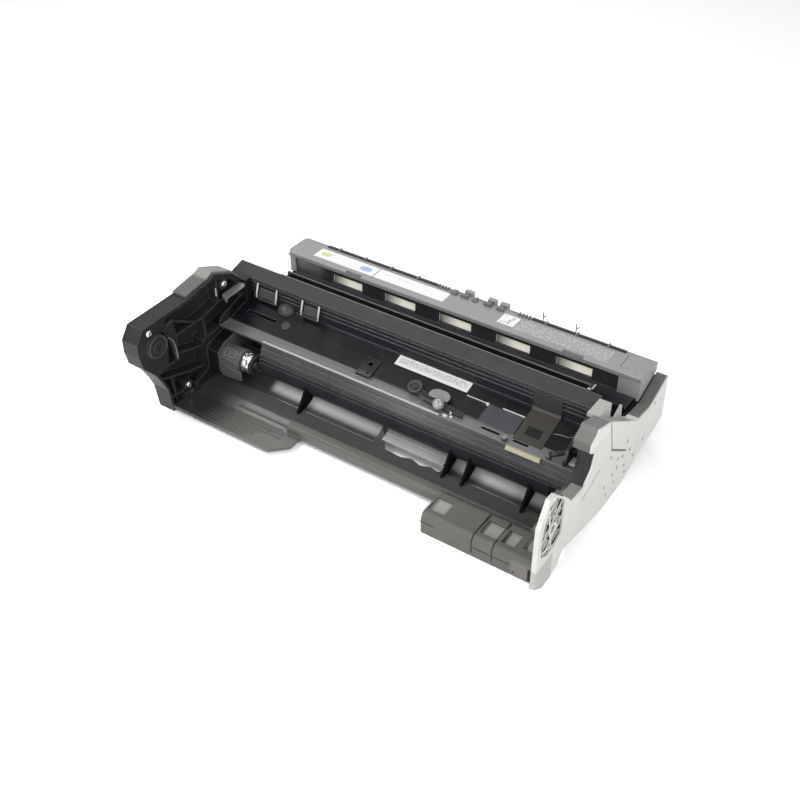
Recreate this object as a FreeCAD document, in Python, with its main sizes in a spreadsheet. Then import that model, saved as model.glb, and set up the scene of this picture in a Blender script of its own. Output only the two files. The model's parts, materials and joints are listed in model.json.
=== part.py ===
import FreeCAD, Part
import math
import os
import re

DOCUMENT = FreeCAD.newDocument("PrinterDrumUnit")

# Driving sizes in millimetres and degrees. X runs along the unit from the drive side to the other
# side, Y from the front guide to the waste housing, and Z up from the surface that it stands on.
SIZES = {
    # The whole unit
    "half_length": 170,
    "nose_y": -98.8,
    "tail_y": 112.8,
    "wall": 2,
    "running_gap": 0.05,
    "rest_gap": 0.3,
    # Side members
    "bracket_width": 15,
    "bracket_skin": 3.5,
    "bracket_wall": 2.2,
    "web": 1.6,
    "side_plate_thick": 9,
    "inner_plate_thick": 4,
    "lobe_thick": 3.5,
    # Toner cradle
    "rim_y": 36,
    "rim_z": 77.5,
    "rim_front_y": 23.5,
    "rim_front_z": 74,
    "rim_skirt": 9.5,
    "cradle_wall_y": 24,
    "cradle_wall_foot_z": 56.3,
    "ledge_rear_y": -3,
    "ledge_z": 48,
    "ledge_front_y": -13.5,
    "band_foot_y": -19.5,
    "band_foot_z": 32.8,
    "cradle_tail": 7,
    "cradle_tail_drop": 9,
    "rail_proud": 0.8,
    "apron_foot_z": 36,
    # Image drum and the rollers round it
    "drum_y": 50,
    "drum_z": 24,
    "drum_radius": 15,
    "drum_skin": 1,
    "gear_bay": 39,
    "far_bay": 23,
    "shaft_radius": 3,
    "thin_shaft_radius": 2.5,
    "develop_gap": 0.3,
    "charge_radius": 6,
    "charge_angle": 60,
    "contact_gap": 0.1,
    # Gear train
    "gear_module": 1,
    "drum_teeth": 28,
    "developer_teeth": 18,
    "feed_teeth": 18,
    "mixing_teeth": 16,
    "coupling_teeth": 14,
    "idler_teeth": 12,
    "waste_teeth": 16,
    "gear_inset": 2,
    "gear_width": 6,
    "feed_drop_angle": 8,
    "mixing_rise_angle": 20,
    "coupling_rise_angle": 10.5,
    "backlash": 0.16,
    # Developer housing
    "developer_tail": 15,
    "shell_foot_z": 10.8,
    "shell_clearance": 2.9,
    "paddle_radius": 7.4,
    "vane": 1,
    # Rear housing and its cover
    "cover_top_z": 68,
    "cover_thick": 3.8,
    "cover_front_y": 80,
    "cover_rear_y": 110,
    "cover_inset": 11,
    "cover_cap_width": 17.3,
    "slit_wall_y": 66,
    "slit_wall_z": 58,
    "slit_wall_inset": 2.5,
    "slit_wall_tail": 28,
    "gutter_z": 50,
    "window_wall_y": 84,
    "window_low_z": 51.7,
    "window_high_z": 60,
    "window_pitch": 51.6,
    "window_width": 30,
    "window_tail": 34.6,
    # Cleaning blade
    "blade_lean": 51,
    "blade_length": 12,
    "blade_thick": 1.8,
    "holder_thick": 1.2,
    # Drive cover and coupling
    "drive_cover_right": -140,
    "sleeve_right": -123,
    "sleeve_radius": 9.5,
    "collar_radius": 8.3,
    "coupling_hole_radius": 7.1,
    "wheel_radius": 8,
    # Front guide and foot
    "guide_low_z": 9.5,
    "beam_front_y": -50,
    "beam_top_z": 12.5,
    "foot_length": 80,
    "sight_gap": 7,
    "guide_gap": 15,
    "lens_backing": 1.2,
    "sight_gap_front": -67,
    "sight_gap_rear": -30,
    "foot_front_y": -77,
    "foot_top_z": 18,
    "wing_front_y": -73.5,
    "wing_right": -49,
    "wing_top_z": 6,
    "wing_thick": 3,
    # Pieces on the cradle floor
    "strip_tail": 24.5,
    "strip_length": 26.5,
    "strip_wide": 3.2,
    "strip_thick": 2.6,
    "film_tail": 29,
    "film_width": 22.5,
    "lever_plate_left": -14,
    "lever_plate_right": 76,
    "lever_plate_thick": 1.2,
    "lever_x": 21.5,
    "lever_thick": 2.4,
    "label_thick": 0.3,
    "film_thick": 0.5,
    # Screws
    "screw_radius": 1.5,
    "screw_head_radius": 2.8,
    "screw_head_height": 1.6,
    "screw_depth": 5,
}

# Places that follow from the driving sizes
PLACES = {
    "middle_y": "(nose_y + tail_y) / 2",
    "left_face": "-half_length",
    "right_face": "half_length",
    "bracket_inner": "left_face + bracket_width",
    "left_plate_inner": "bracket_inner + inner_plate_thick",
    "side_plate_inner": "right_face - side_plate_thick",
    "right_plate_inner": "side_plate_inner - inner_plate_thick",
    "gear_left": "left_plate_inner + gear_inset",
    "gear_right": "gear_left + gear_width",
    "drum_left": "left_plate_inner + gear_bay",
    "drum_right": "right_plate_inner - far_bay",
    "developer_left": "drum_left + 1",
    "developer_right": "right_plate_inner - developer_tail",
    "cradle_right": "right_plate_inner - cradle_tail",
    "slit_wall_left": "left_plate_inner + slit_wall_inset",
    "slit_wall_right": "right_plate_inner - slit_wall_tail",
    "cover_left": "left_face + cover_inset",
    "cover_cap_left": "side_plate_inner - cover_cap_width",
    "last_window_x": "right_plate_inner - window_tail",
    "foot_left": "right_plate_inner - foot_length",
    "sight_gap_left": "right_plate_inner - sight_gap",
    "strip_right": "right_plate_inner - strip_tail",
    "strip_left": "strip_right - strip_length",
    "film_right": "right_plate_inner - film_tail",
    "film_left": "film_right - film_width",
    "floor_slope": "atan((cradle_wall_foot_z - ledge_z) / (cradle_wall_y - ledge_rear_y))",
    "developer_y": "drum_y - gear_module * (drum_teeth + developer_teeth) / 2",
    "developer_z": "drum_z",
    "developer_radius": "drum_y - developer_y - drum_radius - develop_gap",
    "feed_y": "developer_y - gear_module * (developer_teeth + feed_teeth) / 2 * cos(feed_drop_angle)",
    "feed_z": "developer_z - gear_module * (developer_teeth + feed_teeth) / 2 * sin(feed_drop_angle)",
    "mixing_y": "feed_y - gear_module * (feed_teeth + mixing_teeth) / 2 * cos(mixing_rise_angle)",
    "mixing_z": "feed_z + gear_module * (feed_teeth + mixing_teeth) / 2 * sin(mixing_rise_angle)",
    "coupling_y": "mixing_y - gear_module * (mixing_teeth + coupling_teeth) / 2 * cos(coupling_rise_angle)",
    "coupling_z": "mixing_z + gear_module * (mixing_teeth + coupling_teeth) / 2 * sin(coupling_rise_angle)",
    "idler_y": "drum_y + gear_module * (drum_teeth + idler_teeth) / 2",
    "waste_y": "idler_y + gear_module * (idler_teeth + waste_teeth) / 2",
    "charge_y": "drum_y + (drum_radius + charge_radius + contact_gap) * cos(charge_angle)",
    "charge_z": "drum_z + (drum_radius + charge_radius + contact_gap) * sin(charge_angle)",
    "cover_under_z": "cover_top_z - cover_thick",
    "mixing_low_z": "mixing_z - paddle_radius - shell_clearance",
    "feed_front_y": "feed_y - 6.7",
    "feed_rear_y": "feed_y + 9.3",
}


def link(text):
    """The same formula with each word led by the sheet that holds it."""
    def owner(found):
        word = found.group(0)
        if word in PLACES:
            return "Places." + word
        if word in SIZES:
            return "Sizes." + word
        return word
    return re.sub(r"[a-z][a-z_0-9]+", owner, text)


def fill_sheets():
    """One sheet of driving sizes and one of the places worked out from them."""
    sizes = DOCUMENT.addObject("Spreadsheet::Sheet", "Sizes")
    for row, (word, number) in enumerate(SIZES.items(), start=1):
        sizes.set(f"A{row}", str(number))
        sizes.setAlias(f"A{row}", word)
    places = DOCUMENT.addObject("Spreadsheet::Sheet", "Places")
    for row, (word, formula) in enumerate(PLACES.items(), start=1):
        places.set(f"A{row}", "=" + link(formula).replace("Places.", ""))
        places.setAlias(f"A{row}", word)
    DOCUMENT.recompute()
    return sizes, places


SIZES_SHEET, PLACES_SHEET = fill_sheets()


class NamedValues:
    """Reads a size or a place by its name."""
    def __getattr__(self, word):
        sheet = PLACES_SHEET if word in PLACES else SIZES_SHEET
        found = sheet.get(word)
        return float(getattr(found, "Value", found))


V = NamedValues()
PARTS = []
PLANE_ACROSS = {"X": "YZ_Plane", "Y": "XZ_Plane", "Z": "XY_Plane"}


def circle(across, up, radius):
    """A round outline, by its centre and radius."""
    return ("circle", across, up, radius)


def polar(centre, radius, angle):
    """The point at a radius and an angle in degrees from a centre."""
    turn = math.radians(angle)
    return (centre[0] + radius * math.cos(turn), centre[1] + radius * math.sin(turn))


def box(across_low, up_low, across_high, up_high):
    """A rectangle by two opposite corners."""
    return [(across_low, up_low), (across_high, up_low), (across_high, up_high), (across_low, up_high)]


def strip(start, end, thick, overrun=0.0):
    """A straight strip of even thickness along the line between two points."""
    length = math.dist(start, end)
    along = ((end[0] - start[0]) / length, (end[1] - start[1]) / length)
    side = (-along[1] * thick / 2, along[0] * thick / 2)
    tail = (start[0] - along[0] * overrun, start[1] - along[1] * overrun)
    head = (end[0] + along[0] * overrun, end[1] + along[1] * overrun)
    return [(tail[0] - side[0], tail[1] - side[1]), (head[0] - side[0], head[1] - side[1]),
            (head[0] + side[0], head[1] + side[1]), (tail[0] + side[0], tail[1] + side[1])]


def inset(corners, distance):
    """The same outline moved inwards by an even distance, its corners kept sharp."""
    area = sum(a[0] * b[1] - b[0] * a[1] for a, b in zip(corners, corners[1:] + corners[:1])) / 2
    inward = distance if area > 0 else -distance
    moved = []
    for before, here, after in zip(corners[-1:] + corners[:-1], corners, corners[1:] + corners[:1]):
        into = math.atan2(here[1] - before[1], here[0] - before[0])
        out = math.atan2(after[1] - here[1], after[0] - here[0])
        half_turn = (out - into) / 2
        middle = into + half_turn + math.pi / 2
        reach = inward / math.cos(half_turn)
        moved.append((here[0] + reach * math.cos(middle), here[1] + reach * math.sin(middle)))
    return moved


def edges_of(corners):
    """Straight edges between the corners, with an arc at each corner that gives a radius."""
    points = [FreeCAD.Vector(corner[0], corner[1], 0) for corner in corners]
    radii = [corner[2] if len(corner) > 2 else 0 for corner in corners]
    joints = []
    for index, here in enumerate(points):
        before = points[index - 1]
        after = points[(index + 1) % len(points)]
        if radii[index] == 0:
            joints.append((here, None, here))
            continue
        back = (before - here).normalize()
        on = (after - here).normalize()
        half = back.getAngle(on) / 2
        reach = radii[index] / math.tan(half)
        centre = here + (back + on).normalize() * (radii[index] / math.sin(half))
        middle = centre + (here - centre).normalize() * radii[index]
        joints.append((here + back * reach, middle, here + on * reach))
    edges = []
    for index, (start, middle, end) in enumerate(joints):
        if middle is not None:
            edges.append(Part.Arc(start, middle, end))
        following = joints[(index + 1) % len(joints)][0]
        edges.append(Part.LineSegment(end, following))
    return edges


class Moulding:
    """A body that grows by pads and is opened by pockets, each along X, Y or Z."""
    def __init__(self, label, on_floor=False):
        self.label = label
        self.body = DOCUMENT.addObject("PartDesign::Body", label)
        self.body.Label = label
        self.body.AllowCompound = True
        self.steps = 0
        if on_floor:
            self.body.Placement = FreeCAD.Placement(
                FreeCAD.Vector(0, V.ledge_rear_y - V.middle_y, V.ledge_z),
                FreeCAD.Rotation(FreeCAD.Vector(1, 0, 0), V.floor_slope))
            self.body.setExpression("Placement.Base.y", link("ledge_rear_y - middle_y"))
            self.body.setExpression("Placement.Base.z", link("ledge_z"))
            self.body.setExpression("Placement.Rotation.Angle", link("floor_slope"))
        else:
            self.body.setExpression("Placement.Base.y", link("-middle_y"))
        PARTS.append(self.body)

    def outline_sketch(self, axis, level, outlines):
        """A sketch across an axis, at a level that follows the sheets."""
        self.steps += 1
        sketch = self.body.newObject("Sketcher::SketchObject", f"{self.label}_outline_{self.steps}")
        planes = [part for part in self.body.Origin.OriginFeatures if part.Role == PLANE_ACROSS[axis]]
        sketch.AttachmentSupport = [(planes[0], "")]
        sketch.MapMode = "FlatFace"
        side = "-" if axis == "Y" else ""
        sketch.setExpression("AttachmentOffset.Base.z", f"{side}({link(level)})")
        for outline in outlines:
            if outline[0] == "circle":
                centre = FreeCAD.Vector(outline[1], outline[2], 0)
                sketch.addGeometry(Part.Circle(centre, FreeCAD.Vector(0, 0, 1), outline[3]), False)
            else:
                sketch.addGeometry(edges_of(outline), False)
        return sketch

    def add(self, axis, low, high, *outlines):
        """A pad of the outlines from one level to another."""
        sketch = self.outline_sketch(axis, high if axis == "Y" else low, outlines)
        pad = self.body.newObject("PartDesign::Pad", f"{self.label}_pad_{self.steps}")
        pad.Profile = sketch
        pad.setExpression("Length", link(f"({high}) - ({low})"))
        sketch.Visibility = False

    def cut(self, axis, low, high, *outlines):
        """A pocket of the outlines from one level to another."""
        sketch = self.outline_sketch(axis, low if axis == "Y" else high, outlines)
        pocket = self.body.newObject("PartDesign::Pocket", f"{self.label}_pocket_{self.steps}")
        pocket.Profile = sketch
        pocket.setExpression("Length", link(f"({high}) - ({low})"))
        sketch.Visibility = False


def gear_outline(centre, teeth, phase):
    """Involute teeth of the train's module, the first one centred at the phase in degrees."""
    pressure = math.radians(20)
    pitch_radius = V.gear_module * teeth / 2
    base_radius = pitch_radius * math.cos(pressure)
    root_radius = pitch_radius - 1.25 * V.gear_module
    tip_radius = pitch_radius + 0.85 * V.gear_module
    half_pitch = (math.pi * V.gear_module / 2 - V.backlash) / (2 * pitch_radius)

    def half_tooth(radius):
        lean = math.acos(min(1.0, base_radius / radius))
        return half_pitch + (math.tan(pressure) - pressure) - (math.tan(lean) - lean)

    start_radius = max(base_radius, root_radius)
    flank = [(root_radius, half_tooth(start_radius)), (pitch_radius, half_tooth(pitch_radius)),
             (tip_radius, half_tooth(tip_radius))]
    points = []
    for tooth in range(int(teeth)):
        middle = phase + 360.0 * tooth / teeth
        for radius, half in flank:
            points.append(polar(centre, radius, middle - math.degrees(half)))
        for radius, half in reversed(flank):
            points.append(polar(centre, radius, middle + math.degrees(half)))
    return points


def meshed_phase(driver_centre, driver_teeth, driver_phase, centre, teeth):
    """The phase that puts this gear's gap on the driver's tooth at their pitch point."""
    toward = math.degrees(math.atan2(centre[1] - driver_centre[1], centre[0] - driver_centre[0]))
    driver_share = ((toward - driver_phase) * driver_teeth / 360.0) % 1.0
    return toward + 180.0 - (0.5 - driver_share) * 360.0 / teeth


DRUM = (V.drum_y, V.drum_z)
DEVELOPER = (V.developer_y, V.developer_z)
FEED = (V.feed_y, V.feed_z)
MIXING = (V.mixing_y, V.mixing_z)
COUPLING = (V.coupling_y, V.coupling_z)
IDLER = (V.idler_y, V.drum_z)
WASTE = (V.waste_y, V.drum_z)
CHARGE = (V.charge_y, V.charge_z)
DRUM_PHASE = 0.0
DEVELOPER_PHASE = meshed_phase(DRUM, V.drum_teeth, DRUM_PHASE, DEVELOPER, V.developer_teeth)
FEED_PHASE = meshed_phase(DEVELOPER, V.developer_teeth, DEVELOPER_PHASE, FEED, V.feed_teeth)
MIXING_PHASE = meshed_phase(FEED, V.feed_teeth, FEED_PHASE, MIXING, V.mixing_teeth)
COUPLING_PHASE = meshed_phase(MIXING, V.mixing_teeth, MIXING_PHASE, COUPLING, V.coupling_teeth)
IDLER_PHASE = meshed_phase(DRUM, V.drum_teeth, DRUM_PHASE, IDLER, V.idler_teeth)
WASTE_PHASE = meshed_phase(IDLER, V.idler_teeth, IDLER_PHASE, WASTE, V.waste_teeth)
SHAFT_BORE = V.shaft_radius + V.running_gap
THIN_BORE = V.thin_shaft_radius + V.running_gap


def floor_z(y):
    """Height of the cradle's sloping floor at a depth."""
    rise = (V.cradle_wall_foot_z - V.ledge_z) / (V.cradle_wall_y - V.ledge_rear_y)
    return V.ledge_z + rise * max(0.0, y - V.ledge_rear_y)


def on_slope(y):
    """Distance up the sloping floor from its front edge, for a depth."""
    return (y - V.ledge_rear_y) / math.cos(math.radians(V.floor_slope))


def depth_on_slope(run):
    """Depth of a point that lies at a distance up the sloping floor from its front edge."""
    return V.ledge_rear_y + run * math.cos(math.radians(V.floor_slope))


# Toner cradle

RAIL_HEIGHTS = (71.0, 67.4, 63.8)
RAIL_HIGH = 1.0
BAND_RIBS = 4
BAND_GROOVE_SHARE = 0.3
BAND_GROOVE_DEPTH = 0.8
CLIP_SPANS = ((-145.0, -122.0), (-100.0, -82.0))
CLIP_CHEEK = 1.5
CLIP_REACH = 4.5
CRADLE_BOSS = (-27.0, -15.0, -7.0, 9.5)
CRADLE_BOSS_HIGH = 3.0
CRADLE_BOSS_HOLES = ((-21.0, 4.5, 2.2), (-18.5, -3.5, 1.3))
CRADLE_SLOTS = ((-145.0, 8.6, -116.0, 11.4), (81.6, -8.6, 96.4, -6.0), (107.0, -8.6, 119.0, -6.0))
TONER_MOUTH = (34.5, 1.2, 47.0, 8.0)


def band_face():
    """Ribbed front of the cradle, from the ledge down to its foot."""
    top = (V.ledge_front_y, V.ledge_z)
    foot = (V.band_foot_y, V.band_foot_z)
    length = math.dist(top, foot)
    down = ((foot[0] - top[0]) / length, (foot[1] - top[1]) / length)
    inward = (-down[1], down[0])
    pitch = length / (BAND_RIBS - BAND_GROOVE_SHARE)
    points = [top]
    for groove in range(1, BAND_RIBS):
        start = (groove - BAND_GROOVE_SHARE) * pitch
        end = groove * pitch
        for along, deep in ((start, 0), (start, BAND_GROOVE_DEPTH), (end, BAND_GROOVE_DEPTH), (end, 0)):
            points.append((top[0] + down[0] * along + inward[0] * deep,
                           top[1] + down[1] * along + inward[1] * deep))
    points.append(foot)
    return points


def cradle_section(front, with_apron=True):
    """Rim, rear wall with its rails, sloping floor and ledge, closed by the given front points."""
    rim_under_z = V.rim_front_z - V.wall
    rails = []
    for high in RAIL_HEIGHTS:
        rails += [(V.cradle_wall_y, high), (V.cradle_wall_y - V.rail_proud, high),
                  (V.cradle_wall_y - V.rail_proud, high - RAIL_HIGH), (V.cradle_wall_y, high - RAIL_HIGH)]
    back_y = V.cradle_wall_y + V.wall
    apron_y = back_y + V.wall
    apron = [(back_y, V.apron_foot_z), (apron_y, V.apron_foot_z), (apron_y, V.cradle_wall_foot_z),
             (back_y, V.cradle_wall_foot_z + 2)]
    return ([(V.rim_y, V.rim_z), (V.rim_front_y, V.rim_front_z), (V.rim_front_y, rim_under_z),
             (V.cradle_wall_y, rim_under_z)] + rails +
            [(V.cradle_wall_y, V.cradle_wall_foot_z), (V.ledge_rear_y, V.ledge_z)] + front +
            [(V.ledge_rear_y + 0.3, V.ledge_z - V.wall), (back_y, V.cradle_wall_foot_z - V.wall + 0.6)] +
            (apron if with_apron else []) +
            [(back_y, rim_under_z + 0.6),
             (V.rim_y - V.wall, V.rim_z - V.wall - 0.6), (V.rim_y - V.wall, V.rim_z - V.rim_skirt),
             (V.rim_y, V.rim_z - V.rim_skirt)])


def toner_cradle():
    """Open trough that receives the toner cartridge and closes the developer from above."""
    part = Moulding("toner_cradle")
    plain_front = [(V.ledge_front_y, V.ledge_z), (V.ledge_front_y, V.ledge_z - V.wall)]
    foot_inner = (V.band_foot_y + V.wall + 0.2, V.band_foot_z)
    ribbed_front = band_face() + [foot_inner, (V.ledge_front_y + 1.3, V.ledge_z - V.wall)]
    part.add("X", "bracket_inner", "left_plate_inner", cradle_section(plain_front, with_apron=False))
    part.add("X", "left_plate_inner", "developer_left", cradle_section(plain_front))
    part.add("X", "developer_left", "cradle_right", cradle_section(ribbed_front))
    tail_z = V.rim_front_z - V.cradle_tail_drop
    back_y = V.cradle_wall_y + V.wall
    tail = ([(V.cradle_wall_y, tail_z), (V.cradle_wall_y, V.cradle_wall_foot_z),
             (V.ledge_rear_y, V.ledge_z)] + ribbed_front + [(V.ledge_rear_y + 0.3, V.ledge_z - V.wall),
                            (back_y, V.cradle_wall_foot_z - V.wall + 0.6), (back_y, tail_z)])
    part.add("X", "cradle_right", "right_plate_inner", tail)
    rim_end = [(V.rim_y, V.rim_z), (V.rim_front_y, V.rim_front_z), (V.rim_front_y, V.rim_front_z - V.wall),
               (V.rim_y - V.wall, V.rim_z - V.wall - 0.6), (V.rim_y - V.wall, V.rim_z - V.rim_skirt),
               (V.rim_y, V.rim_z - V.rim_skirt)]
    part.add("X", "left_face", "bracket_inner", rim_end)
    end_wall = [(V.ledge_front_y, V.ledge_z - V.wall), (V.ledge_rear_y, V.ledge_z - V.wall),
                (V.cradle_wall_y + 1, V.cradle_wall_foot_z - V.wall),
                (V.cradle_wall_y + 1, V.rim_front_z - 1),
                (V.cradle_wall_y - 12, V.rim_front_z - 4), (V.ledge_front_y + 4, V.ledge_z + 12),
                (V.ledge_front_y, V.ledge_z + 6)]
    low_wall = [(V.ledge_front_y, V.ledge_z - V.wall), (V.ledge_rear_y, V.ledge_z - V.wall),
                (V.cradle_wall_y + 1, V.cradle_wall_foot_z - V.wall),
                (V.cradle_wall_y + 1, V.rim_front_z - 8),
                (V.cradle_wall_y - 12, V.rim_front_z - 12), (V.ledge_front_y + 4, V.ledge_z + 8),
                (V.ledge_front_y, V.ledge_z + 4)]
    part.add("X", "bracket_inner", "bracket_inner + wall", low_wall)
    part.add("X", "cradle_right - wall", "cradle_right", end_wall)
    for low_x, high_x in CLIP_SPANS:
        shelf_z = V.cradle_wall_foot_z + 3
        shelf = [(V.cradle_wall_y + 1, shelf_z - 1), (V.cradle_wall_y - CLIP_REACH, shelf_z + 1),
                 (V.cradle_wall_y - CLIP_REACH, shelf_z + 3), (V.cradle_wall_y + 1, shelf_z + 1)]
        cheek = [(V.cradle_wall_y + 1, shelf_z - 1), (V.cradle_wall_y - CLIP_REACH, shelf_z + 1),
                 (V.cradle_wall_y - 2, V.rim_front_z - V.wall), (V.cradle_wall_y + 1, V.rim_front_z - V.wall)]
        part.add("X", str(low_x), str(high_x), shelf)
        part.add("X", str(low_x), str(low_x + CLIP_CHEEK), cheek)
        part.add("X", str(high_x - CLIP_CHEEK), str(high_x), cheek)
    boss_left, boss_right, boss_front, boss_rear = CRADLE_BOSS
    boss = [(boss_front, floor_z(boss_front) - 1), (boss_rear, floor_z(boss_rear) - 1),
            (boss_rear, floor_z(boss_rear) + CRADLE_BOSS_HIGH),
            (V.ledge_rear_y, V.ledge_z + CRADLE_BOSS_HIGH), (boss_front, V.ledge_z + CRADLE_BOSS_HIGH)]
    part.add("X", str(boss_left), str(boss_right), boss)
    part.cut("Z", "ledge_z - 6", "ledge_z + 10", *[circle(*hole) for hole in CRADLE_BOSS_HOLES])
    part.cut("Z", "ledge_z - 6", "ledge_z + 10", *[box(*slot) for slot in CRADLE_SLOTS])
    mouth_left, mouth_front, mouth_right, mouth_rear = TONER_MOUTH
    part.cut("Z", "ledge_z - 6", "ledge_z + 6",
             box(mouth_left, depth_on_slope(mouth_front), mouth_right, depth_on_slope(mouth_rear)))


LEDGE_STRIP_RIGHT = 50.0


def ledge_strip():
    """Bright steel strip along the front edge of the ledge."""
    part = Moulding("ledge_strip")
    part.add("X", "developer_left", str(LEDGE_STRIP_RIGHT),
             box(V.ledge_front_y, V.ledge_z, V.ledge_front_y + 1.2, V.ledge_z + 0.8))


# Developer unit

def shell_step():
    """The two corners where the shell steps down from the mixing chamber to the feed chamber."""
    return (V.feed_front_y - 3.5, V.mixing_low_z), (V.feed_front_y, V.shell_foot_z)


def developer_housing():
    """Lower shell of the developer, with the two paddle chambers and the lip under the roller."""
    part = Moulding("developer_housing")
    front_y = V.band_foot_y
    lip_y = V.developer_y + 6
    lip_z = V.developer_z - V.developer_radius - 2.4
    step_top, step_foot = shell_step()
    shell = [(front_y, V.band_foot_z), (front_y, V.mixing_low_z, 9), step_top,
             (*step_foot, 3), (V.feed_rear_y, V.shell_foot_z, 2), (V.feed_rear_y + 4.5, lip_z),
             (lip_y, lip_z), (lip_y, lip_z + 1.8), (V.feed_rear_y + 3.5, lip_z + 1.8),
             (V.feed_rear_y - 0.5, V.shell_foot_z + V.wall, 2),
             (V.feed_front_y + 1.3, V.shell_foot_z + V.wall, 3),
             (V.feed_front_y - 2.3, V.mixing_low_z + V.wall, 2),
             (front_y + V.wall, V.mixing_low_z + V.wall, 7), (front_y + V.wall, V.band_foot_z)]
    part.add("X", "developer_left", "developer_right", shell)
    under = V.ledge_z - V.wall
    end_wall = [(front_y + V.wall + 0.4, V.band_foot_z - 1), (V.ledge_front_y + 1.5, under),
                (V.ledge_rear_y + 0.3, under), (V.cradle_wall_y + V.wall - 0.1, V.cradle_wall_foot_z - 1.6),
                (V.cradle_wall_y + V.wall - 0.1, V.apron_foot_z - 0.1), (lip_y, V.developer_z + 8),
                (lip_y, lip_z), (V.feed_rear_y + 4.5, lip_z), (V.feed_rear_y - 1, V.shell_foot_z + 0.2),
                (V.feed_front_y + 1, V.shell_foot_z + 0.2), (V.feed_front_y - 3.5, V.mixing_low_z + 0.2),
                (front_y + 9, V.mixing_low_z + 0.2), (front_y + 2, V.mixing_low_z + 5)]
    bores = [circle(*DEVELOPER, SHAFT_BORE), circle(*FEED, THIN_BORE), circle(*MIXING, THIN_BORE)]
    part.add("X", "developer_left", "developer_left + wall", end_wall, *bores)
    part.add("X", "developer_right - wall", "developer_right", end_wall, *bores)


def doctor_blade():
    """Steel blade on the apron that levels the toner on the developing roller."""
    part = Moulding("doctor_blade")
    back_y = V.cradle_wall_y + V.wall
    part.add("X", "developer_left + 4", "developer_right - 4",
             box(back_y - 1, V.developer_z + V.developer_radius + 0.25, back_y, V.apron_foot_z + 9))


def rod(label, low, high, centre_words, radius_word):
    """A plain round bar along X."""
    bar = DOCUMENT.addObject("Part::Cylinder", label)
    bar.Label = label
    bar.Placement = FreeCAD.Placement(FreeCAD.Vector(), FreeCAD.Rotation(FreeCAD.Vector(0, 1, 0), 90))
    bar.setExpression("Radius", link(radius_word))
    bar.setExpression("Height", link(f"({high}) - ({low})"))
    bar.setExpression("Placement.Base.x", link(low))
    bar.setExpression("Placement.Base.y", link(f"{centre_words[0]} - middle_y"))
    bar.setExpression("Placement.Base.z", link(centre_words[1]))
    PARTS.append(bar)
    return bar


def ring(label, low, high, centre, outer, bore):
    """A round sleeve along X."""
    part = Moulding(label)
    part.add("X", low, high, circle(*centre, outer), circle(*centre, bore))
    return part


def developer_roller():
    """Developing sleeve, its shaft and its gear."""
    ring("developer_sleeve", "developer_left + wall + 2", "developer_right - wall - 4", DEVELOPER,
         V.developer_radius, V.shaft_radius)
    rod("developer_shaft", "left_plate_inner - 3", "right_plate_inner + 3", ("developer_y", "developer_z"),
        "shaft_radius")
    gear = Moulding("developer_gear")
    gear.add("X", "gear_left", "gear_right", gear_outline(DEVELOPER, V.developer_teeth, DEVELOPER_PHASE),
             circle(*DEVELOPER, V.shaft_radius))


def paddle(label, centre, centre_words, gear_label, teeth, phase, vane_angle):
    """Shaft with two flat vanes that stir the toner, and the gear on its end."""
    part = Moulding(label)
    part.add("X", "left_plate_inner - 3", "developer_right - 0.2", circle(*centre, V.thin_shaft_radius))
    vane = strip(polar(centre, V.paddle_radius, vane_angle), polar(centre, V.paddle_radius, vane_angle + 180),
                 V.vane)
    part.add("X", "developer_left + wall + 2", "developer_right - wall - 2", vane)
    gear = Moulding(gear_label)
    gear.add("X", "gear_left", "gear_right", gear_outline(centre, teeth, phase),
             circle(*centre, V.thin_shaft_radius))


# Image drum, charging and cleaning

DRUM_HUB = 9.0
DOG_RADIUS = 2.2


def image_drum():
    """Coated tube, its two end flanges, the gear with its drive dogs, and the shaft."""
    ring("photoconductor_drum", "drum_left", "drum_right", DRUM, V.drum_radius, V.drum_radius - V.drum_skin)
    gear = Moulding("drum_gear")
    bore = circle(*DRUM, V.shaft_radius)
    gear.add("X", "gear_left", "gear_right", gear_outline(DRUM, V.drum_teeth, DRUM_PHASE), bore)
    gear.add("X", "gear_right", "drum_left", circle(*DRUM, DRUM_HUB), bore)
    gear.add("X", "drum_left", "drum_left + 8", circle(*DRUM, V.drum_radius - V.drum_skin), bore)
    gear.add("X", "bracket_inner", "gear_left", circle(*DRUM, DRUM_HUB), bore)
    dogs = [circle(*polar(DRUM, DRUM_HUB - DOG_RADIUS - 0.5, turn), DOG_RADIUS) for turn in (90, 210, 330)]
    gear.add("X", "bracket_inner - 6", "bracket_inner", *dogs)
    flange = Moulding("drum_flange")
    flange.add("X", "drum_right - 8", "drum_right", circle(*DRUM, V.drum_radius - V.drum_skin), bore)
    flange.add("X", "drum_right", "right_plate_inner - 0.5", circle(*DRUM, DRUM_HUB - 2), bore)
    rod("drum_shaft", "bracket_inner", "right_plate_inner + 3", ("drum_y", "drum_z"), "shaft_radius")


def charge_roller():
    """Rubber charging roller on a steel shaft, in two bearing blocks under the gutter."""
    ring("charge_roller", "drum_left + 6", "drum_right - 6", CHARGE, V.charge_radius, V.thin_shaft_radius)
    rod("charge_shaft", "drum_left", "drum_right", ("charge_y", "charge_z"), "thin_shaft_radius")
    blocks = Moulding("charge_bearings")
    under = V.gutter_z - V.wall
    block = [(V.charge_y - 3.6, V.charge_z - 3.4), (V.charge_y + 3.4, V.charge_z - 3.4),
             (V.slit_wall_y + 4, under - 4), (V.slit_wall_y + 4, under), (V.charge_y + 1, under),
             (V.charge_y - 3.6, V.charge_z + 3.4)]
    blocks.add("X", "drum_left", "drum_left + 4", block, circle(*CHARGE, THIN_BORE))
    blocks.add("X", "drum_right - 4", "drum_right", block, circle(*CHARGE, THIN_BORE))


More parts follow.
